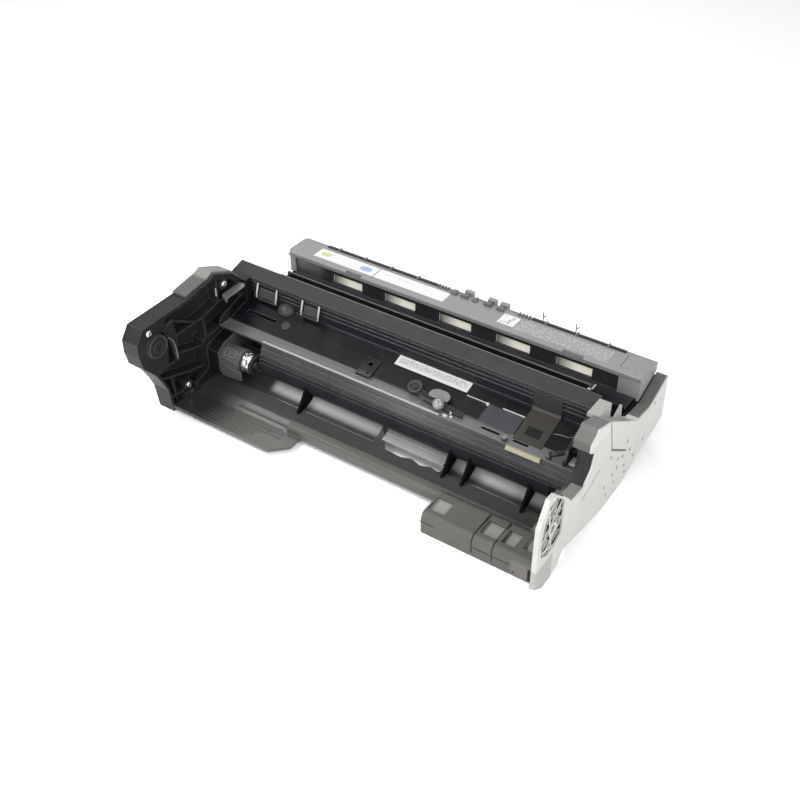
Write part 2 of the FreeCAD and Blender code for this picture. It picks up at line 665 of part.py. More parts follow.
def blade_frame():
    """Start point and directions of the cleaning blade: along it, and through its thickness."""
    lean = math.radians(V.blade_lean)
    touch = polar(DRUM, V.drum_radius + V.contact_gap, 10.0)
    return touch, (math.cos(lean), math.sin(lean)), (math.sin(lean), -math.cos(lean))


def blade_outline(start, end, low, high):
    """A strip along the blade from one length to another and between two depths."""
    touch, along, through = blade_frame()
    return [(touch[0] + along[0] * run + through[0] * deep, touch[1] + along[1] * run + through[1] * deep)
            for run, deep in ((start, low), (end, low), (end, high), (start, high))]


HOLDER_START = 6.0
HOLDER_END = 22.0
SEAT_START = 14.0
SEAT_THICK = 2.0


def cleaning_blade():
    """Rubber blade that wipes the drum, and the steel holder that it is bonded to."""
    blade = Moulding("cleaning_blade")
    blade.add("X", "drum_left + 1", "drum_right - 1", blade_outline(0, V.blade_length, 0, V.blade_thick))
    holder = Moulding("blade_holder")
    holder.add("X", "drum_left + 1", "drum_right - 1",
               blade_outline(HOLDER_START, HOLDER_END, V.blade_thick, V.blade_thick + V.holder_thick))


def waste_side():
    """Idler on its pin, and the paddle that moves waste toner along the rear housing."""
    rod("idler_pin", "left_plate_inner - 3", "gear_right + 1", ("idler_y", "drum_z"),
        "thin_shaft_radius - 0.5")
    idler = Moulding("idler_gear")
    idler.add("X", "gear_left", "gear_right", gear_outline(IDLER, V.idler_teeth, IDLER_PHASE),
              circle(*IDLER, V.thin_shaft_radius - 0.5 + V.running_gap))
    part = Moulding("waste_paddle")
    part.add("X", "left_plate_inner - 3", "drum_right + 3.5", circle(*WASTE, V.thin_shaft_radius))
    vane = strip(polar(WASTE, V.paddle_radius, 35), polar(WASTE, V.paddle_radius, 215), V.vane)
    part.add("X", "drum_left + 2", "drum_right", vane)
    gear = Moulding("waste_gear")
    gear.add("X", "gear_left", "gear_right", gear_outline(WASTE, V.waste_teeth, WASTE_PHASE),
             circle(*WASTE, V.thin_shaft_radius))


# Rear housing, cover and window liner

WINDOWS = 5
LINER_SETBACK = 0.6
REAR_FOOT = (74.0, 104.0)


def rear_housing():
    """Waste toner housing: gutter and window wall on top, open towards the drum below."""
    part = Moulding("rear_housing")
    wall = V.wall
    gutter_low = V.gutter_z - wall
    front = V.window_wall_y
    rear = V.cover_rear_y
    seat = blade_outline(SEAT_START, HOLDER_END + 7, V.blade_thick + V.holder_thick,
                         V.blade_thick + V.holder_thick + SEAT_THICK)
    along = blade_frame()[1]
    reach_front = (gutter_low - seat[0][1]) / along[1]
    reach_rear = (gutter_low - seat[3][1]) / along[1]
    seat_top_front = (seat[0][0] + along[0] * reach_front, gutter_low)
    seat_top_rear = (seat[3][0] + along[0] * reach_rear, gutter_low)
    lip_y = V.drum_y + V.drum_radius
    section = [(V.slit_wall_y, gutter_low), (V.slit_wall_y, V.gutter_z), (front - wall, V.gutter_z),
               (front - wall, V.cover_under_z), (front, V.cover_under_z), (front, V.gutter_z),
               (rear - wall, V.gutter_z), (rear - wall, V.cover_under_z), (rear, V.cover_under_z), (rear, 8),
               (REAR_FOOT[1], 0), (REAR_FOOT[0], 0), (lip_y, 6), (lip_y + 1.5, 8), (REAR_FOOT[0] + 1, wall),
               (REAR_FOOT[1] - 1, wall), (rear - wall, 9), (rear - wall, gutter_low), seat_top_rear, seat[3],
               seat[0], seat_top_front]
    part.add("X", "left_plate_inner", "right_plate_inner", section)
    part.add("X", "slit_wall_left", "slit_wall_right",
             box(V.slit_wall_y, V.gutter_z - wall, V.slit_wall_y + wall, V.slit_wall_z))
    chamber_end = [(lip_y + 6, gutter_low - 8), seat[3], seat_top_rear,
                   (rear - wall, gutter_low), (rear - wall, 9), (REAR_FOOT[1] - 1, wall),
                   (REAR_FOOT[0] + 1, wall), (lip_y + 2, 8)]
    waste_bore = circle(*WASTE, THIN_BORE)
    part.add("X", "drum_left - wall", "drum_left", chamber_end, waste_bore)
    part.add("X", "drum_right + 2", "drum_right + 2 + wall", chamber_end, waste_bore)
    openings = []
    for window in range(WINDOWS):
        right_x = V.last_window_x - V.window_pitch * window
        openings.append(box(right_x - V.window_width, V.window_low_z, right_x, V.window_high_z))
    part.cut("Y", "window_wall_y - wall - 1", "window_wall_y + 1", *openings)
    cap_y = V.slit_wall_y
    part.add("X", "slit_wall_right", "slit_wall_right + 4",
             box(cap_y - 7, V.slit_wall_z - 3, cap_y + wall, V.slit_wall_z + 1))
    part.add("X", "slit_wall_right", "slit_wall_right + 4",
             box(V.slit_wall_y, V.gutter_z - wall, V.slit_wall_y + wall, V.slit_wall_z))


def window_liner():
    """Cream felt strip that shows through the windows."""
    part = Moulding("window_liner")
    part.add("X", "left_plate_inner + 7", "last_window_x + 6",
             box(V.window_wall_y + LINER_SETBACK, V.gutter_z, V.window_wall_y + LINER_SETBACK + 3,
                 V.cover_under_z))


LIP_NOTCHES = ((-99.0, -84.0), (98.0, 114.5))
LIP_NOTCH_DEEP = 2.6
HINGE_Y = 104.0
HINGE_TEETH = 16
HINGE_LEFT = -128.0
HINGE_PITCH = 16.8
HINGE_SLOT = (9.0, 1.6)
PANEL_LINE = (20.0, 6.0, 0.8)
COVER_PADS = (-2.0, 19.0, 30.0)
COVER_PAD = (7.0, 3.8)


def rear_cover():
    """Lid of the rear housing, with a turned-down lip, a hinge line of slots and closed ends."""
    part = Moulding("rear_cover")
    top = V.cover_top_z
    under = V.cover_under_z
    section = [(V.cover_front_y, under, 0.8), (V.cover_front_y, top, 1.2), (HINGE_Y, top),
               (HINGE_Y + 1, top - 1), (V.cover_rear_y - 2, top - 1.4), (V.cover_rear_y, top - 3),
               (V.cover_rear_y, under)]
    part.add("X", "cover_left", "side_plate_inner", section)
    part.cut("Z", "cover_under_z", "cover_top_z",
             *[box(low, V.cover_front_y - 1, high, V.cover_front_y + LIP_NOTCH_DEEP)
               for low, high in LIP_NOTCHES])
    slots = []
    for tooth in range(HINGE_TEETH):
        slot_x = HINGE_LEFT + HINGE_PITCH * tooth
        slots.append(box(slot_x, HINGE_Y + 0.6, slot_x + HINGE_SLOT[0], HINGE_Y + 0.6 + HINGE_SLOT[1]))
    part.cut("Z", "cover_top_z - 2.4", "cover_top_z", *slots)
    back, run, wide = PANEL_LINE
    line_x = V.side_plate_inner - back
    part.cut("Z", "cover_top_z - 0.5", "cover_top_z + 1",
             [(line_x, V.cover_front_y + 6), (line_x + run, V.cover_front_y + 6),
              (line_x + run, V.cover_front_y + 6 + wide), (line_x + wide, V.cover_front_y + 6 + wide),
              (line_x + wide, HINGE_Y - 1), (line_x, HINGE_Y - 1)])
    cheek = [(V.cover_front_y, under), (V.cover_rear_y - 1, under), (V.cover_rear_y - 1, under - 6),
             (V.cover_front_y, V.gutter_z - 2)]
    part.add("X", "side_plate_inner - wall", "side_plate_inner", cheek)
    part.add("X", "cover_left", "cover_left + wall", cheek)
    part.add("X", "cover_cap_left", "side_plate_inner",
             box(V.cover_front_y, V.gutter_z, V.cover_front_y + V.wall - V.rest_gap, under))
    part.add("X", "cover_left", "left_plate_inner",
             box(V.cover_front_y, V.gutter_z, V.cover_front_y + V.wall - V.rest_gap, under))
    corner = V.cover_left - 1
    part.cut("Z", "gutter_z - wall - 1", "cover_top_z + 1",
             [(corner, V.cover_front_y - 1), (corner + 5, V.cover_front_y - 1),
              (corner, V.cover_front_y + 4)])
    wide, deep = COVER_PAD
    rear = V.cover_rear_y + 0.8
    pads = [box(x, rear - deep, x + wide, rear) for x in COVER_PADS]
    part.add("Z", "cover_top_z - 3", "cover_top_z + 1.6", *pads)


# Side members

NOTCH_REAR = [(-25.6, 49.7), (-16, 58), (-12.8, 70), (-21.6, 76)]
RIGHT_OUTLINE = ([(-64, 0), (-76.4, 0), (-87, 7.4), (-87, 61), (-76.8, 78.4), (-68.7, 77.1), (-50.5, 60.3),
                  (-43, 51.5)] + NOTCH_REAR +
                 [(8, 76), (8, 82.5), (57.8, 49.4), (82, 46), (110.7, 56), (112.8, 17.2), (94, 12.4),
                  (76.6, 11.2), (57.7, 4.5), (41, 0), (13, 0), (-20, 5.7), (-47.8, 12), (-56, 3)])
INNER_OUTLINE = [(-44, 46), (-24.5, 46), (-14, 55), (-9.5, 69.5), (-9.5, 74.8), (8.2, 74.8), (8.2, 77.3),
                 (57, 45.4), (82, 44.6), (109.4, 54.2), (111.4, 18.2), (94, 13.6), (76.2, 12.4), (57.2, 5.8),
                 (41, 1.2), (13, 1.2), (-20, 6.9), (-44, 12.4)]
POCKET_OUTLINE = [(-68, 74), (-54.5, 62.2), (-54.5, 33), (-62.5, 28.5), (-73, 27.5), (-81.5, 32),
                  (-83.4, 46.5), (-81.5, 58), (-75.6, 72)]
POCKET_BOSS = (-68.2, 47.3)
POCKET_BOSS_RADIUS = 5.0
POCKET_RIBS = (((-84, 40), (-54, 64)), ((-84, 54), (-64, 72)), ((-79, 28), (-54, 48)),
               ((-75.5, 73), (-66, 27)), ((-84, 35), (-60, 27)))
LOBE = [(-90, -1), (-90, 80), (-66, 80), (-52, 64), (-52, 22), (-60, -1)]
SHOULDER_LEFT = 5.0
SHOULDER_WEDGE = [(8, 82.5), (27.5, 81.5), (27.5, 66.6), (8, 79.5)]
SHOULDER_FIN = [(33, 65.9), (43, 70.5), (45, 57.9), (33, 62.9)]
NOTCH_BLOCK = NOTCH_REAR + [(-10.5, 76), (-10.5, 69), (-14.5, 56), (-24, 47.5)]
NOTCH_RIM = 1.2
SHOULDER_GROOVE = ((8, 82), (16.3, 52.2), (44.8, 31.7))
LEG_GROOVE = ((-0.7, 46.8), (-25.7, 38.9))
GROOVE_WIDE = 1.6
GROOVE_DEEP = 1.5
PLATE_HOLES = ((45.5, 39.5), (40, 29.5), (52.7, 27), (61, 15), (31.6, 33), (31.6, 25), (45.6, 17.5),
               (48.5, 8.5), (17.5, 44.5), (24.3, 23.5), (28.7, 13.5), (12.3, 20.3), (17.3, 10.5),
               (77.6, 19), (91, 43.5))
PLATE_HOLE = (2.4, 3.4)
INNER_BEARING_WALL = 3.0


def right_side_plate():
    """Moulded outer plate with a ribbed lens pocket, a bearing notch, grooves and small openings."""
    part = Moulding("right_side_plate")
    part.add("X", "side_plate_inner", "right_face", RIGHT_OUTLINE)
    part.cut("X", "side_plate_inner - 1", "right_face - lobe_thick", LOBE)
    part.cut("X", "side_plate_inner - 1", "right_face + 1", POCKET_OUTLINE)
    ribs = [strip(start, end, V.web, 0.4) for start, end in POCKET_RIBS]
    for rib in ribs:
        part.add("X", "right_face - lobe_thick", "right_face - 1", rib)
    part.add("X", "right_face - lobe_thick", "right_face", circle(*POCKET_BOSS, POCKET_BOSS_RADIUS))
    part.cut("X", "right_face - lobe_thick + 1", "right_face + 1",
             circle(*POCKET_BOSS, POCKET_BOSS_RADIUS - 1.8))
    part.cut("X", "side_plate_inner - 1", f"right_face - {NOTCH_RIM}", NOTCH_BLOCK)
    part.add("X", f"right_plate_inner - {SHOULDER_LEFT}", "side_plate_inner", SHOULDER_WEDGE)
    part.add("X", "side_plate_inner", "side_plate_inner + web", SHOULDER_FIN)
    grooves = list(zip(SHOULDER_GROOVE, SHOULDER_GROOVE[1:])) + [LEG_GROOVE]
    for start, end in grooves:
        part.cut("X", f"right_face - {GROOVE_DEEP}", "right_face + 1", strip(start, end, GROOVE_WIDE, 0.5))
    wide, tall = PLATE_HOLE
    openings = [box(y - wide / 2, z - tall / 2, y + wide / 2, z + tall / 2) for y, z in PLATE_HOLES]
    part.cut("X", "right_face - 3", "right_face + 1", *openings)


def right_inner_plate():
    """Black bearing plate behind the outer plate, which carries the shafts' right ends."""
    part = Moulding("right_inner_plate")
    bores = [circle(*DRUM, SHAFT_BORE), circle(*DEVELOPER, SHAFT_BORE)]
    part.add("X", "right_plate_inner", "side_plate_inner", INNER_OUTLINE, *bores)


LENS_OUTLINE = [(-84.6, 25), (-84.6, 60), (-76.5, 75), (-68, 75), (-53.5, 62.5), (-53.5, 25)]


def lens_block():
    """Black backing of the lens pocket, which closes its cells."""
    part = Moulding("lens_block")
    part.add("X", "right_face - lobe_thick - lens_backing", "right_face - lobe_thick", LENS_OUTLINE)


def notch_block():
    """Black block let into the side plate behind its notch."""
    part = Moulding("notch_block")
    part.add("X", "side_plate_inner", f"right_face - {NOTCH_RIM}", NOTCH_BLOCK)


GUIDE_BLOCK = [(-21.6, 76), (-21.6, 82.6), (-13.4, 86.6), (-12.8, 88.2), (-11, 89.2), (-9.4, 88.4),
               (7.7, 82.6), (7.7, 76)]


def right_guide_block():
    """Stepped guide on top of the right side plate."""
    part = Moulding("right_guide_block")
    part.add("X", "right_plate_inner", "right_face", GUIDE_BLOCK)


LEFT_OUTLINE = [(-73.5, 0), (-76.2, 22), (-80, 31), (-86.2, 42.6), (-96.5, 54.6), (-98.8, 66), (-98.8, 76.8),
                (-91.4, 86.8), (-61.5, 87.2), (-43, 87.6), (-18.5, 91), (-13, 93.5), (7.9, 84), (16, 75.5),
                (23, 71), (23, 54), (0, 45), (-12, 42), (-12, 18), (-20, 10), (-56, 6), (-60, 0)]
LEFT_CAVITY = [(-71.5, 4), (-74, 22), (-77.5, 31), (-83, 40.5), (-72, 40.5), (-69, 60), (-74.5, 75),
               (-66, 84.5), (-42, 85), (-14, 89.5), (5, 81), (12, 73), (12, 54), (-3, 47), (-33, 44),
               (-33, 16), (-44, 9), (-58, 8), (-61.5, 3)]
LEFT_SHELF_Z = 66.0
LEFT_WEBS = (((-74, 76.5), (-59, 76.9)), ((-60.9, 76.9), (-37.4, 62.8)), ((-56.6, 61.7), (-27.8, 62.0)),
             ((-27.8, 62.0), (-9, LEFT_SHELF_Z)), ((-28.1, 61), (-26.4, 44)), ((-56.5, 45.3), (-32, 37.6)),
             ((-79, 33.1), (-49.3, 23.1)), ((-49.3, 23.1), (-32, 19)), ((-75, 41.2), (-61, 41.2)),
             ((-74.5, 10.8), (-55, 10.0)), ((-69, 29), (-65.8, 3)), ((-9, LEFT_SHELF_Z), (-9, 87)),
             ((-9, LEFT_SHELF_Z), (12.5, LEFT_SHELF_Z)))
LEFT_BLOCK = [(-60.9, 77), (-58.1, 62.6), (-60.7, 40.6), (-66.7, 65.8), (-72, 74.6)]
RING_BOSS = (-80.5, 66.5)
RING_BOSS_RADIUS = 7.6
RING_SOCKET_RADIUS = 5.6
LEFT_SCREWS = ((-85.8, 80.5), (-3.0, 80.0), (-54.2, 14.0))
SCREW_BOSS_RADIUS = 4.2


def left_bracket():
    """Drive-side bracket: a shell with webs, a raised nose and the seat of the ring coupling."""
    part = Moulding("left_bracket")
    part.add("X", "left_face", "bracket_inner", LEFT_OUTLINE)
    part.cut("X", "left_face + bracket_skin", "bracket_inner + 1", LEFT_CAVITY)
    for start, end in LEFT_WEBS:
        part.add("X", "left_face", "bracket_inner - 2", strip(start, end, V.web, 0.4))
    part.add("X", "left_face", "bracket_inner - 1", LEFT_BLOCK)
    part.add("X", "left_face", "bracket_inner + 2", circle(*RING_BOSS, RING_BOSS_RADIUS + V.wall))
    part.cut("X", "left_face - 1", "bracket_inner + 3", circle(*RING_BOSS, RING_SOCKET_RADIUS))
    bosses = [circle(y, z, SCREW_BOSS_RADIUS) for y, z in LEFT_SCREWS[1:]]
    part.add("X", "left_face", "bracket_inner", *bosses)
    part.cut("X", "bracket_inner - screw_depth", "bracket_inner + 1",
             *[circle(y, z, V.screw_radius) for y, z in LEFT_SCREWS])
    part.cut("X", "left_face - 1", "bracket_inner + 1", circle(*COUPLING, V.coupling_hole_radius))


def side_screws():
    """Pan-head screws that close the bracket, as one group."""
    part = Moulding("side_screws")
    for y, z in LEFT_SCREWS:
        part.add("X", "bracket_inner - screw_depth", "bracket_inner", circle(y, z, V.screw_radius))
        part.add("X", "bracket_inner", "bracket_inner + screw_head_height", circle(y, z, V.screw_head_radius))


TAB_TOP = [(-43, 89.6), (-18.5, 93), (-13, 95.5), (7.9, 86), (16, 77.5)]
TAB_THICK = 2.0


def left_tab():
    """Light tab along the top of the drive-side bracket."""
    part = Moulding("left_tab")
    under = [(-43, 87.6), (-18.5, 91), (-13, 93.5), (7.9, 84), (16, 75.5)]
    part.add("X", "left_face", "bracket_inner - 2", TAB_TOP + under[::-1])


LEFT_PLATE = [(-50, 4), (-50, 14), (-34, 20), (-34, 41), (-14, 45.7), (-3, 45.7), (22, 53.2), (42, 53.2),
              (65.7, 49), (84, 49), (84, 64), (108, 64), (108, 3), (104, 0), (46, 0), (-20, 3)]


def left_inner_plate():
    """Bearing plate on the drive side, between the bracket and the gears."""
    part = Moulding("left_inner_plate")
    bores = [circle(*DRUM, DRUM_HUB + V.running_gap), circle(*DEVELOPER, SHAFT_BORE),
             circle(*FEED, THIN_BORE), circle(*MIXING, THIN_BORE), circle(*COUPLING, THIN_BORE + 0.5),
             circle(*IDLER, V.thin_shaft_radius - 0.5), circle(*WASTE, THIN_BORE)]
    part.add("X", "bracket_inner", "left_plate_inner", LEFT_PLATE, *bores)


# Drive coupling

COVER_OUTLINE = [(-33, 19), (-33, 38), (-26, 43), (-12, 45.5), (-3, 45.6), (20, 52), (25, 50), (25, 35.6),
                 (38.5, 35.6), (38.5, 9), (2, 9), (-3, 13.5), (-14, 14.5)]


def drive_cover():
    """Cover over the front gears, with the sleeve that carries the coupling shaft."""
    part = Moulding("drive_cover")
    part.add("X", "left_plate_inner", "drive_cover_right", COVER_OUTLINE)
    drum_side = box(V.drum_y - 17, 5, V.drum_y - 9, 34.4)
    part.cut("X", "left_plate_inner - 1", "drive_cover_right - wall", inset(COVER_OUTLINE, 1.4))
    part.cut("X", "left_plate_inner - 1", "drive_cover_right - wall", drum_side)
    part.cut("X", "drive_cover_right - wall - 1", "drive_cover_right + 1", circle(*DEVELOPER, SHAFT_BORE),
             circle(*FEED, THIN_BORE), circle(*MIXING, THIN_BORE))
    part.add("X", "drive_cover_right - 0.5", "sleeve_right", circle(*COUPLING, V.sleeve_radius))
    seat_y = V.coupling_y - V.sleeve_radius
    part.add("X", "drive_cover_right - 0.5", "sleeve_right - wall",
             box(seat_y, V.coupling_z - 4, seat_y + 3, V.coupling_z + 3))
    part.cut("X", "drive_cover_right - wall - 1", "sleeve_right - wall",
             circle(*COUPLING, V.sleeve_radius - V.wall))
    part.cut("X", "drive_cover_right", "sleeve_right + 1", circle(*COUPLING, THIN_BORE + 0.5))


SHIELD = (-139.5, 16.5, -119.5, 28.0)


def coupling_shield():
    """Plate that hangs in front of the coupling sleeve."""
    part = Moulding("coupling_shield")
    left, low, right, high = SHIELD
    outline = [(left, low), (right, low + 1.5), (right, high - 2), (left, high)]
    part.add("Y", "coupling_y - sleeve_radius - wall / 2", "coupling_y - sleeve_radius", outline)


def drive_coupling():
    """Coupling shaft with its gear, spring, bright collar and end wheel."""
    rod("coupling_shaft", "left_plate_inner - 3", "sleeve_right + 11.5", ("coupling_y", "coupling_z"),
        "thin_shaft_radius + 0.5")
    gear = Moulding("coupling_gear")
    bore = circle(*COUPLING, V.thin_shaft_radius + 0.5)
    gear.add("X", "gear_left", "gear_right", gear_outline(COUPLING, V.coupling_teeth, COUPLING_PHASE), bore)
    collar = Moulding("coupling_collar")
    collar.add("X", "sleeve_right + 0.5", "sleeve_right + 8.5", circle(*COUPLING, V.collar_radius), bore)
    wheel = Moulding("coupling_wheel")
    wheel.add("X", "sleeve_right + 9", "sleeve_right + 11", circle(*COUPLING, V.wheel_radius), bore)


def nose_bush():
    """Plain bush pressed into the bracket's nose."""
    part = Moulding("nose_bush")
    part.add("X", "left_face + 2", "bracket_inner + 3", circle(*RING_BOSS, RING_SOCKET_RADIUS),
             circle(*RING_BOSS, RING_SOCKET_RADIUS - 2.2))
    part.add("X", "left_face + 2", "left_face + 5", circle(*RING_BOSS, RING_SOCKET_RADIUS - 2))


CONTACT_Z = 72.0
CONTACT_THICK = 0.8


def bracket_contact():
    """Sheet-metal contact on the bracket's inner face, which reaches over the cradle's end."""
    part = Moulding("bracket_contact")
    edge = V.bracket_inner
    part.add("Z", str(CONTACT_Z), str(CONTACT_Z + CONTACT_THICK),
             [(edge, -6), (edge + 8, -10), (edge + 7.5, 12), (edge + 5, 15), (edge, 15)])


# Front guide, wing and foot

SHEET_FRONT = -26.0
SHEET_REAR = -11.0
SHEET_RADIUS = 24.0
SHEET_STEPS = 5
GUIDE_WINDOW = [(1, -11.5), (60, -11.5), (61, -28, 2), (52, -26), (45, -29, 2), (36, -26), (28, -29, 2),
                (14, -28)]
FIN_PLACES = (-66.0, 64.0, 80.0, 128.0)
FIN_THICK = 1.8
SHEET_START = 41.0
BEAM_START = 90.0
WING_RIBS = ((-47.4, 9.0), (-54.6, 6.8), (-59.4, 6.8))
WING_RIB_WIDE = 1.2
WING_SLOPE = 8.0
WING_CORNER = 12.0


def sheet_point(share, radius):
    """A point on the guide's curved sheet: its share of the way from front to rear, and its radius."""
    turn = math.asin((SHEET_REAR - SHEET_FRONT) / SHEET_RADIUS) * share
    return (SHEET_FRONT + radius * math.sin(turn),
            V.guide_low_z + SHEET_RADIUS - radius * math.cos(turn))


def lower_guide():
    """Paper guide under the developer: curved sheet, window, fins, front beam and wing."""
    part = Moulding("lower_guide")
    low = V.guide_low_z
    wall = V.wall
    front = V.beam_front_y
    shares = [step / SHEET_STEPS for step in range(SHEET_STEPS + 1)]
    face = [sheet_point(share, SHEET_RADIUS) for share in shares]
    back = [sheet_point(share, SHEET_RADIUS + wall) for share in shares]
    hanger = [(SHEET_REAR, V.mixing_low_z), (SHEET_REAR + wall, V.mixing_low_z),
              (SHEET_REAR + wall, face[-1][1] - 1)]
    sheet = face + hanger + back[::-1]
    beam = [(front + 9, low), (front + 8, V.beam_top_z), (front + 1.5, V.beam_top_z),
            (front, V.beam_top_z - 2), (front, 4), (front + 6, 3.5), (front + 10, low - wall)]
    wing_low = V.wing_top_z - V.wing_thick
    short_wing = [(front + 9, low), (front - 1, V.wing_top_z), (V.wing_front_y, V.wing_top_z),
                  (V.wing_front_y, wing_low), (front, wing_low), (front + 10, low - wall)]
    sheet_left = f"left_plate_inner + {SHEET_START}"
    beam_left = f"left_plate_inner + {BEAM_START}"
    part.add("X", "left_plate_inner", sheet_left, face[:-1] + back[-2::-1] + short_wing[::-1])
    part.add("X", sheet_left, beam_left, sheet + short_wing[::-1])
    part.add("X", beam_left, "right_plate_inner", sheet + beam[::-1])
    for rib_y, rib_top in WING_RIBS:
        part.add("X", sheet_left, beam_left,
                 box(rib_y, V.wing_top_z - 1, rib_y + WING_RIB_WIDE, rib_top))
    part.cut("Z", "0", "beam_top_z + 2", GUIDE_WINDOW)
    for x in FIN_PLACES:
        fin = [(SHEET_REAR, low + 3.2), (SHEET_REAR, V.mixing_low_z), (SHEET_REAR - 5, V.mixing_low_z),
               (SHEET_REAR - 21, low - 1), (SHEET_REAR - 9, low - 0.5)]
        part.add("X", str(x), str(x + FIN_THICK), fin)
    wing_left = V.left_plate_inner + BEAM_START - WING_SLOPE
    wing = [(wing_left, front - 1), (wing_left, V.wing_front_y), (V.wing_right - WING_CORNER, V.wing_front_y),
            (V.wing_right, V.wing_front_y + WING_CORNER), (V.wing_right, front + 1),
            (wing_left + WING_SLOPE, front + 1), (wing_left + WING_SLOPE, front - 1)]
    part.add("Z", "wing_top_z - wing_thick", "wing_top_z", wing)
    part.add("X", "bracket_inner", "left_plate_inner",
             box(V.wing_front_y, wing_low, front, V.wing_top_z))
    part.cut("Z", "0", "beam_top_z + 1",
             box(V.right_plate_inner - V.guide_gap, V.sight_gap_front, V.right_plate_inner + 1,
                 V.sight_gap_rear))


FOOT_RECESSES = ((1.0, 14.0), (42.0, 56.5), (58.5, 68.0))


def front_foot():
    """Box-shaped foot at the front right, open underneath, with three recesses in its front."""
    part = Moulding("front_foot")
    section = [(V.beam_front_y, 0), (V.beam_front_y, V.foot_top_z - 1, 1),
               (V.foot_front_y + 3, V.foot_top_z, 2),
               (V.foot_front_y, V.foot_top_z - 4, 1), (V.foot_front_y, 0)]
    part.add("X", "foot_left", "right_face - lobe_thick", section)
    part.cut("X", "foot_left + wall", "right_face - lobe_thick - wall",
             box(V.foot_front_y + V.wall, -1, V.beam_front_y - V.wall, V.foot_top_z - 4 - V.wall))
    for low, high in FOOT_RECESSES:
        part.cut("Z", "foot_top_z - 3", "foot_top_z + 1",
                 box(V.foot_left + low, V.foot_front_y + 7, V.foot_left + high, V.beam_front_y - 6))
    part.cut("Z", "-1", "foot_top_z + 1",
             box(V.sight_gap_left, V.sight_gap_front, V.right_face, V.beam_front_y + 1))
    part.cut("Z", "-1", "foot_top_z - 4 - wall",
             box(V.sight_gap_left - V.wall * 2, V.beam_front_y - V.wall - 1, V.right_face,
                 V.beam_front_y + 1))


# Pieces on the cradle floor. Their own X runs along the unit and their Y up the slope.

LEVER_PIVOT_Y = 1.0
LEVER_ARM = 44.0


def lever_plate():
    """Thin plate round the toner mouth, which carries the lever."""
    part = Moulding("lever_plate", on_floor=True)
    plate = [(V.lever_plate_left, 0.5), (V.lever_plate_right, 0.5), (V.lever_plate_right, on_slope(11)),
             (V.lever_plate_left + 6, on_slope(11)), (V.lever_plate_left, on_slope(9))]
    part.add("Z", "0", "lever_plate_thick", plate, circle(V.lever_x, on_slope(LEVER_PIVOT_Y), THIN_BORE),
             box(*TONER_MOUTH))


def inlet_lever():
    """Lever that turns on a pin through its plate, with a half disc that closes the toner mouth."""
    part = Moulding("inlet_lever", on_floor=True)
    pivot = (V.lever_x, on_slope(LEVER_PIVOT_Y))
    lift = "lever_plate_thick + rest_gap"
    top = "lever_plate_thick + rest_gap + lever_thick"
    part.add("Z", "running_gap", f"{top} + 1.5", circle(*pivot, V.thin_shaft_radius))
    part.add("Z", lift, top, circle(*pivot, 5.5))
    end_x = V.lever_x + LEVER_ARM
    part.add("Z", lift, top, [(pivot[0], pivot[1] - 2.6), (V.lever_x + 16, -3.4), (end_x, -4.5),
                              (end_x, -1.4), (V.lever_x + 27, 1.5), (V.lever_x + 16, 1.5),
                              (pivot[0], pivot[1] + 2.6)])
    half_disc = [(V.lever_x + 12, 1), (V.lever_x + 27, 1), (V.lever_x + 27, 6, 3), (V.lever_x + 20, 9.5, 4),
                 (V.lever_x + 12, 6, 3)]
    part.add("Z", lift, top, half_disc)
    knob = Moulding("lever_knob", on_floor=True)
    knob.add("Z", top, f"{top} + 5", circle(V.lever_x + 24, -2.4, 4.2))
    knob.add("Z", f"{top} + 5", f"{top} + 6.2", circle(V.lever_x + 24, -2.4, 3.2))


def floor_label():
    """Blank paper label at the back of the floor."""
    part = Moulding("cradle_label", on_floor=True)
    part.add("Z", "0", "label_thick", box(-6.6, on_slope(14.2), 56.5, on_slope(23)))


def cover_labels():
    """Blank labels on the rear cover."""
    spans = (("cover_label_left", -136.0, -77.0), ("cover_label_right", -76.0, -10.0),
             ("cover_label_small", 39.0, 53.0))
    for label, low_x, high_x in spans:
        part = Moulding(label)
        part.add("Z", "cover_top_z", "cover_top_z + label_thick",
                 box(low_x, V.cover_front_y + 6, high_x, V.cover_front_y + 19))


FILM_HOLE = (5.5, 0.5, 8.0)


def film_tab():
    """Folded film that hangs on the rear wall and lies on the floor, with a square hole."""
    part = Moulding("film_tab")
    wall_y = V.cradle_wall_y - V.rail_proud - 0.1
    foot_y = wall_y - 1.5
    thick = V.film_thick
    front_y = -5.5
    section = [(wall_y, V.rim_front_z - 3), (wall_y, floor_z(wall_y) + 1.6), (foot_y, floor_z(foot_y) + 0.1),
               (front_y + 2.5, V.ledge_z + 0.1), (front_y, V.ledge_z + 0.1),
               (front_y, V.ledge_z + 0.1 + thick),
               (front_y + 2.5, V.ledge_z + 0.1 + thick), (foot_y - 0.2, floor_z(foot_y) + 0.1 + thick),
               (wall_y - thick, floor_z(wall_y) + 1.9), (wall_y - thick, V.rim_front_z - 3)]
    part.add("X", "film_left", "film_right", section)
    hole_inset, hole_front, hole_rear = FILM_HOLE
    part.cut("Z", "ledge_z", "ledge_z + 8",
             box(V.film_left + hole_inset, hole_front, V.film_right - hole_inset, hole_rear))


PIN_RADIUS = 2.2
PIN_CLEARANCE = 1.8


